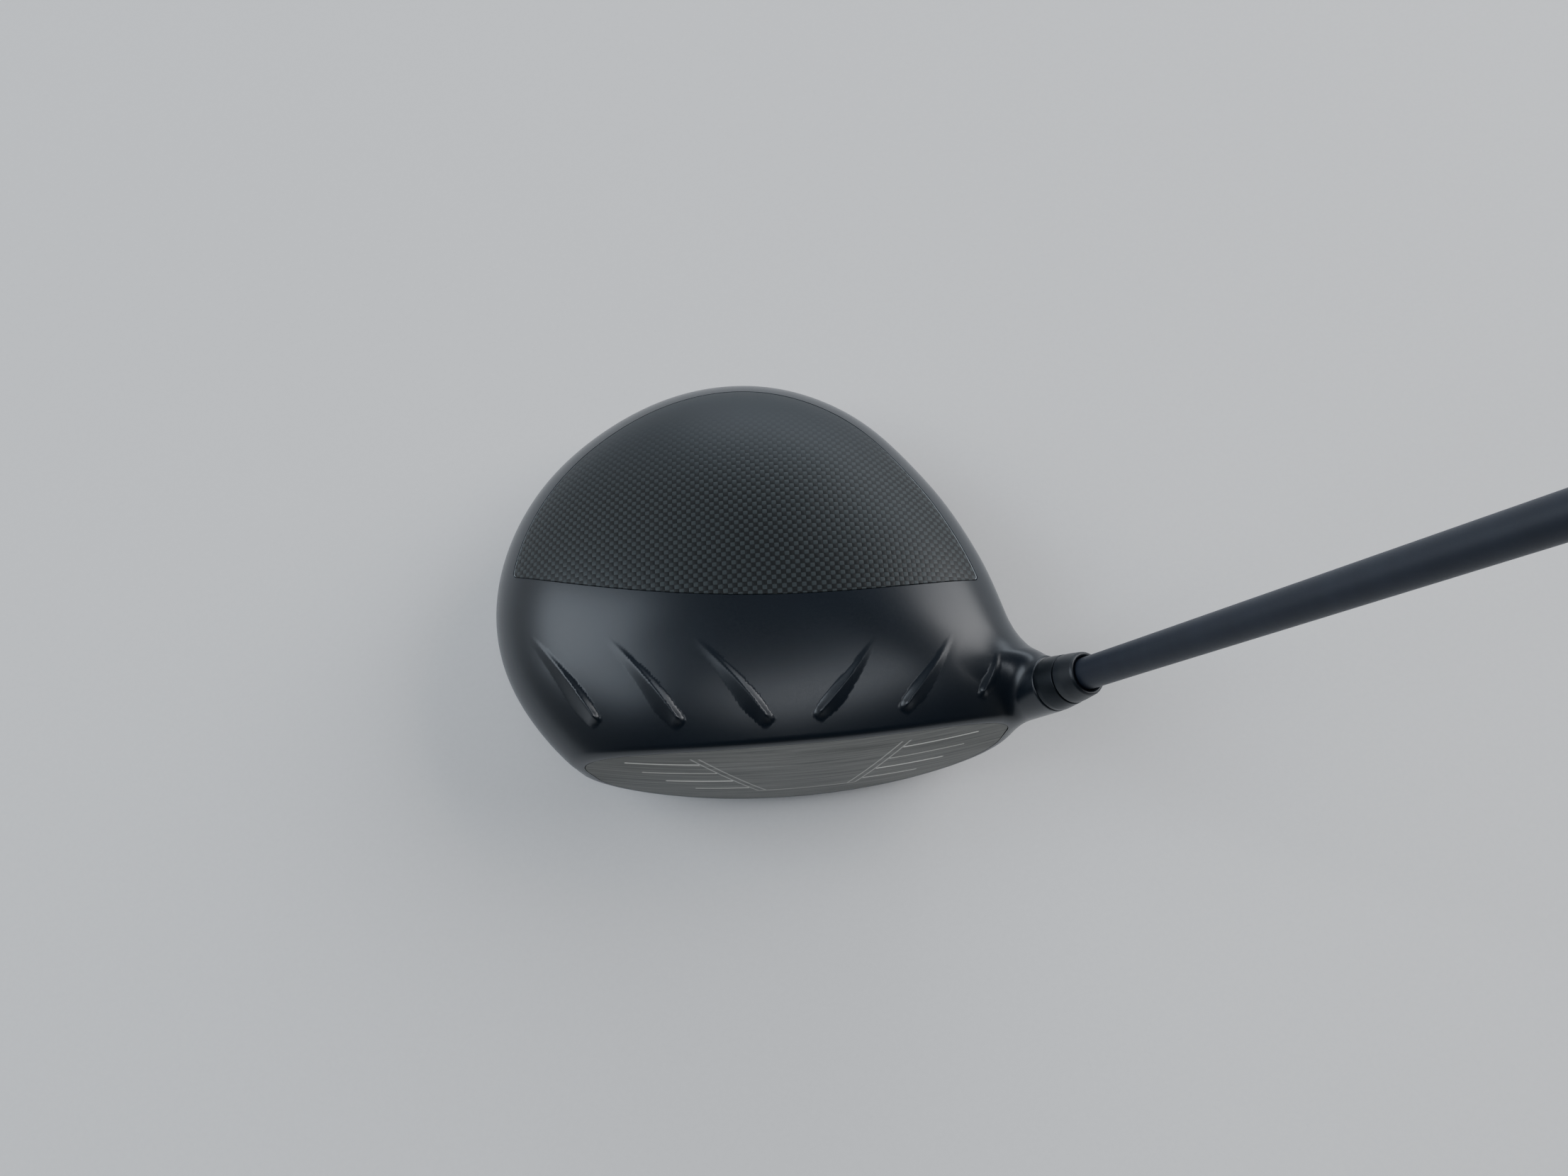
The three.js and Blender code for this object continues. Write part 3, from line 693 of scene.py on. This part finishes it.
def milled_titanium():
    # Fly-cut bare titanium: warm grey, with level tool lines about 0.3 mm apart and broader bands.
    made, tree, place = new_material("milled_titanium")
    long_lines = node(tree, "Mapping", {"Vector": place, "Scale": (60, 1, 3200)})
    lines = node(tree, "TexNoise", {
        "Vector": long_lines, "Scale": 1, "Detail": 5, "Roughness": 0.65})
    wide_lines = node(tree, "Mapping", {"Vector": place, "Scale": (30, 1, 900)})
    bands = node(tree, "TexNoise", {"Vector": wide_lines, "Scale": 1, "Detail": 2})
    both = node(tree, "Math", {0: lines, 1: bands}, operation="ADD")
    grain = node(tree, "MapRange", {"Value": both, "From Min": 0.72, "From Max": 1.28})
    parts = node(tree, "SeparateXYZ", {"Vector": place})
    off_mid = node(tree, "Math", {0: parts.outputs["X"], 1: SCORE_MID * MM}, operation="SUBTRACT")
    across = node(tree, "Math", {0: off_mid}, operation="ABSOLUTE")
    metal = node(tree, "Mix", {
        "Factor": grain, "A": linear("#535451"), "B": linear("#7b7b77")}, data_type="RGBA")
    cut = node(tree, "Attribute", attribute_name="score")
    colour = node(tree, "Mix", {
        "Factor": cut.outputs["Fac"], "A": metal, "B": linear("#f2f1ea")}, data_type="RGBA")
    rough = node(tree, "MapRange", {"Value": across, "From Max": 0.06, "To Min": 0.42, "To Max": 0.5})
    bump = node(tree, "Bump", {"Height": grain, "Strength": 0.3, "Distance": 0.00006})
    finish_material(tree, {
        "Base Color": colour, "Metallic": 1, "Roughness": rough,
        "Normal": bump, "Anisotropic": 0.3})
    return made


face = add_piece("face_plate", [(plate, plate_tris, None), (*plate_rim, None)], milled_titanium(),
                 "head", "face_insert")
bright = np.zeros(len(face.data.vertices))
bright[:len(plate)] = np.clip(scored * 1.5, 0, 1) + 0.45 * framed
face.data.attributes.new("score", "FLOAT", "POINT").data.foreach_set("value", bright)

# ------------------------------------------------------------
# Crown panel: woven carbon cloth in epoxy, 1.1 mm thick, bonded to the casting's ledge, with a
# satin clear coat whose weave fades to plain satin towards the rear, where its black is painted a dark grey
# as painted sheen.
PANEL_GAP = 0.16
PANEL_THICK = 1.1
TOW = 1.35
STRANDS_ALONG_X = (60, 5200, 1)
STRANDS_ALONG_Y = (5200, 60, 1)
FADE_FROM = 30
FADE_TO = 68
LIP = 0.22
LIP_DROP = 0.07

panel, panel_tris = trim(skin, skin_tris, panel_inside(skin) - PANEL_GAP - LIP)
panel_normal = unit(slopes(casting_distance, panel))
panel_back = panel - panel_normal * PANEL_THICK
loop = max(rims_of(panel_tris), key=len)
outward = slopes(lambda x, y, z: -panel_inside(np.stack([x, y, z], 1)), panel[loop])
outward = unit(outward - panel_normal[loop] * (outward * panel_normal[loop]).sum(1)[:, None])
lip_ring = panel[loop] + outward * LIP - panel_normal[loop] * LIP_DROP
panel_edge = strip([panel[loop], lip_ring, lip_ring - panel_normal[loop] * 0.9, panel_back[loop]])


def laid_cloth(verts):
    # Cloth coordinates in metres: plan distance stretched by the slope, so tows keep their width.
    y_line = np.arange(-70.0, 86.0)
    x_line = np.arange(-90.0, 80.0)
    found = []
    for k, line, other in ((0, x_line, y_line), (1, y_line, x_line)):
        grid = np.meshgrid(x_line, y_line, indexing="ij")
        angle = np.arctan2(grid[1], grid[0])
        reach = round_rim(RIM_REACH, angle)
        edge_z = round_rim(RIM_HEIGHT, angle)
        share = np.clip(np.hypot(*grid) / reach, 0, 0.93)
        height = edge_z + (CROWN_TOP - edge_z) * (1 - share ** 2.1) ** 0.55
        rise = np.gradient(height, axis=k)
        arc = np.cumsum(np.sqrt(1 + rise ** 2), axis=k)
        zero = int(np.argmin(np.abs(line)))
        arc = arc - np.take(arc, [zero], axis=k)
        fx = np.clip(verts[:, 0] - x_line[0], 0, len(x_line) - 1.01)
        fy = np.clip(verts[:, 1] - y_line[0], 0, len(y_line) - 1.01)
        i, j = fx.astype(int), fy.astype(int)
        u, v = fx - i, fy - j
        found.append(
            arc[i, j] * (1 - u) * (1 - v) + arc[i + 1, j] * u * (1 - v) + arc[i, j + 1] * (1 - u) * v
            + arc[i + 1, j + 1] * u * v)
    return np.stack(found, 1) * MM


def woven_carbon():
    # Plain weave of 1.35 mm tows under satin clear coat: a quiet chequer in which the tows running one way
    # are painted lighter than the others as painted sheen, each tow slightly crowned.
    made, tree, place = new_material("woven_carbon_satin_clear")
    cloth = node(tree, "UVMap", uv_map="cloth")
    parts = node(tree, "SeparateXYZ", {"Vector": cloth})
    tows, crowns = [], []
    for way in "XY":
        run = node(tree, "Math", {0: parts.outputs[way], 1: TOW * MM}, operation="DIVIDE")
        tows.append(node(tree, "Math", {0: run}, operation="FLOOR"))
        share = node(tree, "Math", {0: run}, operation="FRACT")
        off_mid = node(tree, "Math", {0: share, 1: 0.5}, operation="SUBTRACT")
        off = node(tree, "Math", {0: off_mid}, operation="ABSOLUTE")
        twice = node(tree, "Math", {0: off, 1: 2.0}, operation="MULTIPLY")
        drop = node(tree, "Math", {0: twice, 1: 3.0}, operation="POWER")
        crowns.append(node(tree, "Math", {0: 1.0, 1: drop}, operation="SUBTRACT"))
    count = node(tree, "Math", {0: tows[0], 1: tows[1]}, operation="ADD")
    odd = node(tree, "Math", {0: count, 1: 2.0}, operation="FLOORED_MODULO")
    height = node(tree, "Mix", {"Factor": odd, "A": crowns[0], "B": crowns[1]}, data_type="FLOAT")
    fill = node(tree, "Math", {0: crowns[0], 1: crowns[1]}, operation="MULTIPLY")
    strands = []
    for scale in (STRANDS_ALONG_X, STRANDS_ALONG_Y):
        run = node(tree, "Mapping", {"Vector": cloth, "Scale": scale})
        strands.append(node(tree, "TexNoise", {"Vector": run, "Scale": 1, "Detail": 2}))
    strand = node(tree, "Mix", {"Factor": odd, "A": strands[1], "B": strands[0]}, data_type="FLOAT")
    plan = node(tree, "SeparateXYZ", {"Vector": place})
    fade = node(tree, "MapRange", {
        "Value": plan.outputs["Y"], "From Min": FADE_FROM * MM, "From Max": FADE_TO * MM,
        "To Min": 1, "To Max": 0}, interpolation_type="SMOOTHSTEP")
    # Painted sheen: the tows that run one way are painted a lighter grey than the same fibre running the
    # other way, for the light the fibres catch.
    tows_with_painted_sheen = node(tree, "Mix", {
        "Factor": odd, "A": linear("#030406"), "B": linear("#343a3c")}, data_type="RGBA")
    fleck = node(tree, "Math", {0: strand, 1: 0.35}, operation="MULTIPLY")
    toned = node(tree, "Mix", {
        "Factor": fleck, "A": tows_with_painted_sheen, "B": linear("#33393b")}, data_type="RGBA")
    filled = node(tree, "MapRange", {"Value": fill, "From Max": 0.6, "To Min": 0.45, "To Max": 1})
    gap = node(tree, "Mix", {
        "Factor": filled, "A": linear("#07090b"), "B": toned}, data_type="RGBA")
    # Painted sheen: the plain rear is painted a dark grey rather than black, for the sheen of the light
    # behind the head.
    weave_and_painted_rear_sheen = node(tree, "Mix", {"Factor": fade, "A": linear("#23292e"), "B": gap}, data_type="RGBA")
    # Painted highlight: a pale blue-grey along the panel's edge lip stands in for the light the seam catches.
    painted_seam_highlight = node(tree, "Attribute", attribute_name="painted_seam_highlight")
    colour = node(tree, "Mix", {
        "Factor": painted_seam_highlight.outputs["Fac"], "A": weave_and_painted_rear_sheen, "B": linear("#b9c2c8")}, data_type="RGBA")
    raised = node(tree, "Math", {0: height, 1: fill}, operation="MULTIPLY")
    depth = node(tree, "Math", {0: raised, 1: fade}, operation="MULTIPLY")
    bump = node(tree, "Bump", {"Height": depth, "Strength": 0.35, "Distance": 0.00012})
    rough = node(tree, "MapRange", {"Value": strand, "To Min": 0.38, "To Max": 0.48})
    finish_material(tree, {
        "Base Color": colour, "Roughness": rough, "Normal": bump, "IOR": 1.5, "Specular IOR Level": 0.34,
        "Coat Weight": 0.06, "Coat Roughness": 0.4})
    return made


crown = add_piece("carbon_crown", [
    (panel, panel_tris, panel_normal), (panel_back, panel_tris[:, ::-1], -panel_normal),
    (*panel_edge, None)], woven_carbon(), "head", "crown_panel", uv=laid_cloth)
# Mask of the painted seam highlight: on the panel's sides, not its front arc, fading out towards the rear.
seam_highlight_mask = ease(-outward[:, 1], 0.9, 0.7) * (1 - ease(panel[loop][:, 1], 38, 58))
painted_seam_highlight = np.zeros(len(crown.data.vertices))
painted_seam_highlight[2 * len(panel):2 * len(panel) + 2 * len(loop)] = np.concatenate([seam_highlight_mask, seam_highlight_mask])
crown.data.attributes.new("painted_seam_highlight", "FLOAT", "POINT").data.foreach_set("value", painted_seam_highlight)

# ------------------------------------------------------------
# Sole badge: a blank oval of satin aluminium, brushed along its length, let into the sole with
# adhesive. A shallow line follows its edge.
BADGE_THICK = 0.6
BADGE_LOW = 0.05
GROOVE_IN = 1.3
GROOVE_WIDTH = 0.28
GROOVE_DEEP = 0.18


def skinned(distance, cad_name, step):
    # A smooth skin of a small piece, looked for 1 mm round the box of its CAD node.
    low, high = np.array(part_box(cad_name)) / MM + ((-1,), (1,))
    lines = [np.arange(a, b, step) for a, b in zip(low, high)]
    verts, tris = skin_of(distance(*np.ix_(*lines)), low, step)
    verts = settle(distance, verts)
    return verts, tris, unit(slopes(distance, verts))


def badge_distance(x, y, z):
    form = head_distance(x, y, z)
    reach = badge_reach(x, y)
    groove = GROOVE_DEEP * np.exp(-((reach + GROOVE_IN) / GROOVE_WIDTH) ** 2)
    plate = smooth_max(form + BADGE_LOW + groove, -form - BADGE_THICK, 0.1)
    return smooth_max(plate, reach, 0.25)


def brushed_metal(name, dark, light, rough, lines=(40, 2600, 2600), grain=0.25):
    # Bare metal with fine lines along one axis and slight clouding from handling.
    made, tree, place = new_material(name)
    run = node(tree, "Mapping", {"Vector": place, "Scale": lines})
    line = node(tree, "TexNoise", {"Vector": run, "Scale": 1, "Detail": 4})
    cloud = node(tree, "TexNoise", {"Vector": place, "Scale": 160, "Detail": 4})
    most = node(tree, "Math", {0: line, 1: 0.7}, operation="MULTIPLY")
    rest = node(tree, "Math", {0: cloud, 1: 0.3}, operation="MULTIPLY")
    mixed = node(tree, "Math", {0: most, 1: rest}, operation="ADD")
    shade = node(tree, "MapRange", {"Value": mixed, "From Min": 0.36, "From Max": 0.64})
    colour = node(tree, "Mix", {
        "Factor": shade, "A": linear(dark), "B": linear(light)}, data_type="RGBA")
    shine = node(tree, "MapRange", {"Value": shade, "To Min": rough + 0.06, "To Max": rough - 0.05})
    bump = node(tree, "Bump", {"Height": mixed, "Strength": grain, "Distance": 0.00004})
    finish_material(tree, {
        "Base Color": colour, "Metallic": 1, "Roughness": shine,
        "Normal": bump})
    return made


badge = skinned(badge_distance, "sole_badge", 0.3)
add_piece("oval_badge", [badge], brushed_metal("brushed_satin_aluminium", "#55595d", "#7d8185", 0.36),
          "head", "sole_badge")

# ------------------------------------------------------------
# Rear weight: a sintered tungsten slug, bead blasted, that slides in the curved track and is
# clamped by a steel star-drive screw, which pulls a nut up against the rails behind the track.
SLIDE_GAP = 0.3
WEIGHT_REACH = math.radians(13.75)
SCREW_FOOT = np.array((TRACK_CENTRE[0], TRACK_CENTRE[1] + TRACK_RADIUS, 0.0))
SCREW_SHOULDER = 15.1
COUNTERBORE = 4.1
SHANK_HOLE = 2.6
NOTCH_OUT = 8.4
NOTCH_HALF = 0.55
NOTCH_DEEP = 1.1
UP = np.array((0.0, 0.0, 1.0))
ACROSS = (np.array((1.0, 0.0, 0.0)), np.array((0.0, 1.0, 0.0)))


def weight_distance(x, y, z):
    form = head_distance(x, y, z)
    block = track_hollow(x, y, z, TRACK_HALF - SLIDE_GAP, WEIGHT_REACH, TRACK_TOP - SLIDE_GAP)
    block = smooth_max(block, form + SLIDE_GAP, CUT_ROUND)
    off = np.hypot(x - SCREW_FOOT[0], y - SCREW_FOOT[1])
    counterbore = np.maximum(off - COUNTERBORE, z - SCREW_SHOULDER - SLIDE_GAP)
    swing = np.arctan2(x - TRACK_CENTRE[0], y - TRACK_CENTRE[1]) * TRACK_RADIUS
    notch = np.maximum(np.abs(np.abs(swing) - NOTCH_OUT) - NOTCH_HALF, -form - NOTCH_DEEP)
    cut = np.minimum(np.minimum(counterbore, off - SHANK_HOLE), notch)
    return smooth_max(block, -cut, BROKEN_EDGE)


def sintered_tungsten():
    # Dull mid-grey metal with a pebbled, bead-blasted surface, its pits about 0.2 mm across.
    made, tree, place = new_material("bead_blasted_tungsten")
    pebble = node(tree, "TexNoise", {"Vector": place, "Scale": 5200, "Detail": 3})
    cloud = node(tree, "TexNoise", {"Vector": place, "Scale": 240, "Detail": 5})
    colour = node(tree, "Mix", {
        "Factor": cloud, "A": linear("#4c4e50"), "B": linear("#6c6e70")}, data_type="RGBA")
    bump = node(tree, "Bump", {"Height": pebble, "Strength": 0.4, "Distance": 0.00005})
    finish_material(tree, {
        "Base Color": colour, "Metallic": 1, "Roughness": 0.46, "Normal": bump})
    return made


def star_radius(sides, reach):
    angle = np.arange(sides) / sides * 2 * math.pi
    return reach * (0.86 + 0.14 * np.cos(6 * angle))


def threads(radius, start, end, pitch, sides, depth=0.32):
    # Rings of a cut thread: radii swing with the turn so the crest runs round as a helix.
    angle = np.arange(sides) / sides
    rings = []
    for along in np.arange(start, end, pitch / 8):
        phase = (along / pitch - angle) % 1
        rings.append((radius - depth * np.abs(2 * phase - 1), along))
    return rings


def merged(piece):
    # Closes the fans at the ends of a turned piece.
    shape = bmesh.new()
    shape.from_mesh(piece.data)
    bmesh.ops.remove_doubles(shape, verts=shape.verts, dist=1e-7)
    bmesh.ops.recalc_face_normals(shape, faces=shape.faces)
    shape.to_mesh(piece.data)
    shape.free()


SIDE_A = np.array((0.0, 1.0, 0.0))
SIDE_B = np.cross(AXIS, SIDE_A)


def turned(profile, sides=96, axis=AXIS, foot=AXIS_FOOT, across=(SIDE_A, SIDE_B)):
    # A turned form from (radius, distance along the axis) pairs, in order round its section.
    angle = np.arange(sides) / sides * 2 * math.pi
    spokes = np.cos(angle)[:, None] * across[0] + np.sin(angle)[:, None] * across[1]
    full = np.ones(sides)
    rings = [foot + axis * along + spokes * (full * radius)[:, None] for radius, along in profile]
    verts, tris = strip(rings)
    return verts, tris[:, ::-1], None


def star_bolt(head_radius, shank, foot, shoulder, tip, star, pitch, sides=96):
    # Profile from the socket's floor out over the head, down the shank and round the thread to the tip.
    lobes = star_radius(sides, star)
    depth = foot + 0.62 * (shoulder - foot)
    return [
        (0, depth + 0.4), (lobes * 0.6, depth + 0.15), (lobes, depth), (lobes, foot + 0.25),
        (lobes + 0.2, foot), (head_radius - 0.5, foot), (head_radius - 0.12, foot + 0.14),
        (head_radius, foot + 0.5),
        (head_radius, shoulder - 0.2), (head_radius - 0.15, shoulder), (shank + 0.1, shoulder),
        (shank, shoulder + 0.1), (shank, shoulder + 1.5),
        *threads(shank, shoulder + 1.6, tip - 0.5, pitch, sides), (shank - 0.5, tip), (0, tip)]


steel = brushed_metal("satin_screw_steel", "#7f8385", "#b9bcbd", 0.3, lines=(900, 900, 2400), grain=0.15)
weight = skinned(weight_distance, "back_weight", 0.25)
add_piece("tungsten_slug", [weight], sintered_tungsten(), "rear_weight", "back_weight")
screw_profile = star_bolt(3.8, 2.3, 11.6, SCREW_SHOULDER, 25.6, 2.3, 0.8)
merged(add_piece("weight_star_screw", [turned(screw_profile, 96, UP, SCREW_FOOT, ACROSS)], steel,
                 "rear_weight_screw", "weight_screw"))

# ------------------------------------------------------------
# Hosel bolt, washer and captive ring: turned steel. The bolt is reached through the port in the
# sole and draws the sleeve down; a spring-steel ring in the port keeps it from falling out.
def softened(profile, size, steps=4):
    # Rounds every inner corner of a profile.
    found = [profile[0]]
    for before, corner, after in zip(profile, profile[1:], profile[2:]):
        before, corner, after = (np.array(p, float) for p in (before, corner, after))
        cut = []
        for way in (before - corner, after - corner):
            cut.append(corner + way * min(size / max(np.hypot(*way), 1e-6), 0.45))
        for t in np.linspace(0, 1, steps):
            found.append(tuple(cut[0] * (1 - t) ** 2 + 2 * corner * t * (1 - t) + cut[1] * t ** 2))
    return found + [profile[-1]]


def tube_piece(name, profile, material, body, replaces, size, sides=128):
    # A turned tube from a profile that starts partway up its bore, which closes it.
    closed = softened([*profile, profile[0]], size)
    merged(add_piece(name, [turned(closed, sides)], material, body, replaces))


bolt_profile = star_bolt(4.2, 2.5, 19.5, 24.9, 37.5, 2.6, 0.8)
merged(add_piece("hosel_star_bolt", [turned(bolt_profile)], steel, "bolt", "hosel_bolt"))
tube_piece("thrust_washer", [(2.8, 25.7), (2.8, 25.2), (4.9, 25.2), (4.9, 26.2), (2.8, 26.2)],
           steel, "head", "bolt_washer", 0.15)
tube_piece("captive_ring", [(3.4, 17.9), (3.4, 17.3), (5, 17.3), (5, 18.5), (3.4, 18.5)],
           steel, "head", "bolt_retaining_ring", 0.25)

# ------------------------------------------------------------
# Adjustable sleeve: black anodised aluminium, turned, with a steel threaded foot. Its top band
# shows between the hosel and the ferrule, with a fine bright line on its broken edges.
LEAN = (0, LIE - math.pi / 2, 0)


def anodised_black():
    # Black anodised turned aluminium: satin, with faint turning rings about 0.3 mm apart, which is
    # coarser than a real tool leaves, so that they show.
    made, tree, place = new_material("black_anodised_aluminium")
    turn = node(tree, "Mapping", {"Vector": place, "Rotation": LEAN})
    along = node(tree, "Mapping", {"Vector": turn, "Scale": (30, 30, 3400)})
    ring = node(tree, "TexNoise", {"Vector": along, "Scale": 1, "Detail": 3})
    tone = node(tree, "Mix", {
        "Factor": ring, "A": linear("#0f151b"), "B": linear("#1d242b")}, data_type="RGBA")
    shine = node(tree, "MapRange", {"Value": ring, "To Min": 0.4, "To Max": 0.3})
    bump = node(tree, "Bump", {"Height": ring, "Strength": 0.15, "Distance": 0.00003})
    finish_material(tree, {
        "Base Color": tone, "Metallic": 0.5, "Roughness": shine,
        "Normal": bump})
    return made


TIP_BORE = 4.56
tube_piece("sleeve", [
    (TIP_BORE, 50), (TIP_BORE, 38), (5.6, 38), (5.6, 64.9), (7.3, 64.9), (7.3, 66.2), (6.72, 70.9), (6.4, 71),
    (TIP_BORE, 71)], anodised_black(), "club_shaft", "adapter_sleeve", 0.14, 192)
tube_piece("threaded_foot", [
    (2.8, 34), (2.8, 30.3), (5.2, 30.3), (5.6, 31.2), (5.6, 37.7), (2.8, 37.7)],
    steel, "club_shaft", "thread_insert", 0.15)

# ------------------------------------------------------------
# Ferrule: a turned black plastic collar pushed down the shaft onto the sleeve, with a chamfered
# lip at the top that catches the light.
def satin_plastic(name, dark, light, rough, grain_scale):
    # Moulded plastic: nearly flat colour with a fine matt grain and soft handling marks.
    made, tree, place = new_material(name)
    grain = node(tree, "TexNoise", {"Vector": place, "Scale": grain_scale, "Detail": 3})
    cloud = node(tree, "TexNoise", {"Vector": place, "Scale": 70, "Detail": 4})
    tone = node(tree, "Mix", {
        "Factor": cloud, "A": linear(dark), "B": linear(light)}, data_type="RGBA")
    shine = node(tree, "MapRange", {
        "Value": cloud, "From Min": 0.3, "From Max": 0.7,
        "To Min": rough - 0.05, "To Max": rough + 0.05})
    bump = node(tree, "Bump", {"Height": grain, "Strength": 0.2, "Distance": 0.00004})
    finish_material(tree, {
        "Base Color": tone, "Roughness": shine, "Normal": bump})
    return made


tube_piece("ferrule_collar", [
    (TIP_BORE, 74), (TIP_BORE, 71.3), (6.6, 71.3), (6.38, 73.5), (5.85, 77), (5.5, 77.6), (5.0, 77.6),
    (TIP_BORE, 77.1)], satin_plastic("satin_black_ferrule_plastic", "#10161d", "#171e26", 0.4, 1800),
    "club_shaft", "ferrule", 0.16, 192)

# ------------------------------------------------------------
# Shaft: a hollow tapered tube of rolled carbon, ground and sprayed a matt blue-black that hides
# the laminate. A foam plug closes its tip, out of sight.
SHAFT_FOOT = 38.3
TIP_RADIUS = 4.26
TIP_END = 95
TAPER = 0.00308
BUTT = 1148
SHAFT_WALL = 1.1


def shaft_radius(along):
    return TIP_RADIUS + np.maximum(0, along - TIP_END) * TAPER


def matt_shaft_paint():
    # Matt blue-black lacquer with a fine grain and very faint bands left by grinding under it.
    made, tree, place = new_material("matt_blue_black_shaft_paint")
    turn = node(tree, "Mapping", {"Vector": place, "Rotation": LEAN})
    bands = node(tree, "Mapping", {"Vector": turn, "Scale": (20, 20, 260)})
    ring = node(tree, "TexNoise", {"Vector": bands, "Scale": 1, "Detail": 4})
    grain = node(tree, "TexNoise", {"Vector": place, "Scale": 2200, "Detail": 3})
    tone = node(tree, "Mix", {
        "Factor": ring, "A": linear("#191f2b"), "B": linear("#222936")}, data_type="RGBA")
    shine = node(tree, "MapRange", {"Value": grain, "To Min": 0.42, "To Max": 0.56})
    bump = node(tree, "Bump", {"Height": grain, "Strength": 0.15, "Distance": 0.00004})
    finish_material(tree, {
        "Base Color": tone, "Roughness": shine, "Normal": bump})
    return made


def dress(node_name, material):
    # A carried-over CAD piece that stays hidden inside the club.
    for item in bpy.data.objects:
        if item.name == node_name:
            item.data.materials.clear()
            item.data.materials.append(material)


stations = (SHAFT_FOOT + 0.4, 60, TIP_END, *range(120, BUTT, 60), BUTT - 0.4)
outer_line = [(float(shaft_radius(along)), along) for along in stations]
inner_line = [(radius - SHAFT_WALL, along) for radius, along in outer_line[::-1]]
tip_radius, butt_radius = outer_line[0][0], outer_line[-1][0]
tip_bore = (tip_radius - SHAFT_WALL, SHAFT_FOOT)
shaft_profile = [
    tip_bore, (tip_radius - 0.3, SHAFT_FOOT), *outer_line, (butt_radius - 0.3, BUTT),
    (butt_radius - SHAFT_WALL, BUTT), *inner_line, tip_bore]
merged(add_piece("carbon_shaft", [turned(shaft_profile, 192)], matt_shaft_paint(), "club_shaft", "shaft"))
dress("shaft_tip_plug", satin_plastic("open_cell_plug_foam", "#b8b7ab", "#d2d1c6", 0.85, 900))

# ------------------------------------------------------------
# Grip: moulded black rubber over crepe paper tape, with cut diamonds in two fields, a plain
# collar at the mouth, and a hard cap with a vent hole in the butt end.
GRIP_FOOT = 889
GRIP_TOP = 1151.5
GRIP_LINE = [(9.1, 0), (9.5, 4), (10.2, 90), (12.4, 210), (13.6, 250), (14.6, 258.5), (14.6, 262.5)]
GROOVE_PITCH = 4.2
GROOVE_COUNT = 18
GROOVE_DEPTH = 0.45
GROOVE_FIELDS = ((14, 120), (128, 242))
COLLARS = (9, 11.5, 123, 125.5, 246, 249)
TAPE_THICK = 0.85
GRIP_SIDES = 216
GRIP_STEP = 0.55


def moulded_rubber():
    # Soft black rubber: a leathery mould grain 0.7 mm across and a dust-grey bloom in patches.
    made, tree, place = new_material("moulded_black_rubber")
    grain = node(tree, "TexVoronoi", {"Vector": place, "Scale": 1500})
    bloom = node(tree, "TexNoise", {"Vector": place, "Scale": 35, "Detail": 5})
    tone = node(tree, "Mix", {
        "Factor": bloom, "A": linear("#15171a"), "B": linear("#24272a")}, data_type="RGBA")
    bump = node(tree, "Bump", {"Height": grain, "Strength": 0.35, "Distance": 0.00008})
    finish_material(tree, {
        "Base Color": tone, "Roughness": 0.72, "Normal": bump})
    return made


def grip_rings():
    angle = np.arange(GRIP_SIDES) / GRIP_SIDES * 2 * math.pi
    rings = []
    for along in np.arange(0, GRIP_TOP - GRIP_FOOT + 0.01, GRIP_STEP):
        radius = np.interp(along, [a for _, a in GRIP_LINE], [radius for radius, _ in GRIP_LINE])
        radius = radius - 0.5 * max(0, 1 - along / 0.8) ** 2
        turn = along / GROOVE_PITCH / GROOVE_COUNT * 2 * math.pi * 1.6
        cut = np.zeros(GRIP_SIDES)
        for way in (1, -1):
            phase = ((angle + way * turn) * GROOVE_COUNT / (2 * math.pi)) % 1
            cut = np.maximum(cut, np.clip(1 - np.abs(phase - 0.5) * 9, 0, 1))
        field = max(ease(along, a, a + 2) - ease(along, b - 2, b) for a, b in GROOVE_FIELDS)
        collar = sum(math.exp(-((along - at) / 0.7) ** 2) for at in COLLARS)
        rings.append((radius - GROOVE_DEPTH * field * cut - 0.4 * collar, GRIP_FOOT + along))
    return rings


rubber = moulded_rubber()
grip_bore = float(shaft_radius(GRIP_FOOT)) + TAPE_THICK
butt_bore = float(shaft_radius(BUTT)) + TAPE_THICK
grip_profile = [(grip_bore, GRIP_FOOT), *grip_rings(), (butt_bore, GRIP_TOP), (grip_bore, GRIP_FOOT)]
merged(add_piece("rubber_grip", [turned(grip_profile, GRIP_SIDES)], rubber, "club_shaft", "grip",
                 sharp=0.9))
tube_piece("butt_cap", [
    (1.1, 1154), (1.1, 1151.8), (14.6, 1151.8), (14.4, 1154.2), (12.6, 1156), (10.2, 1156), (9.8, 1155.7),
    (9.4, 1156), (1.6, 1156), (1.1, 1155.6)], rubber, "club_shaft", "grip_cap", 0.35, 160)
dress("grip_tape", satin_plastic("crepe_paper_tape", "#c9c0a6", "#ddd6c2", 0.8, 1400))
dress("weight_nut", steel)
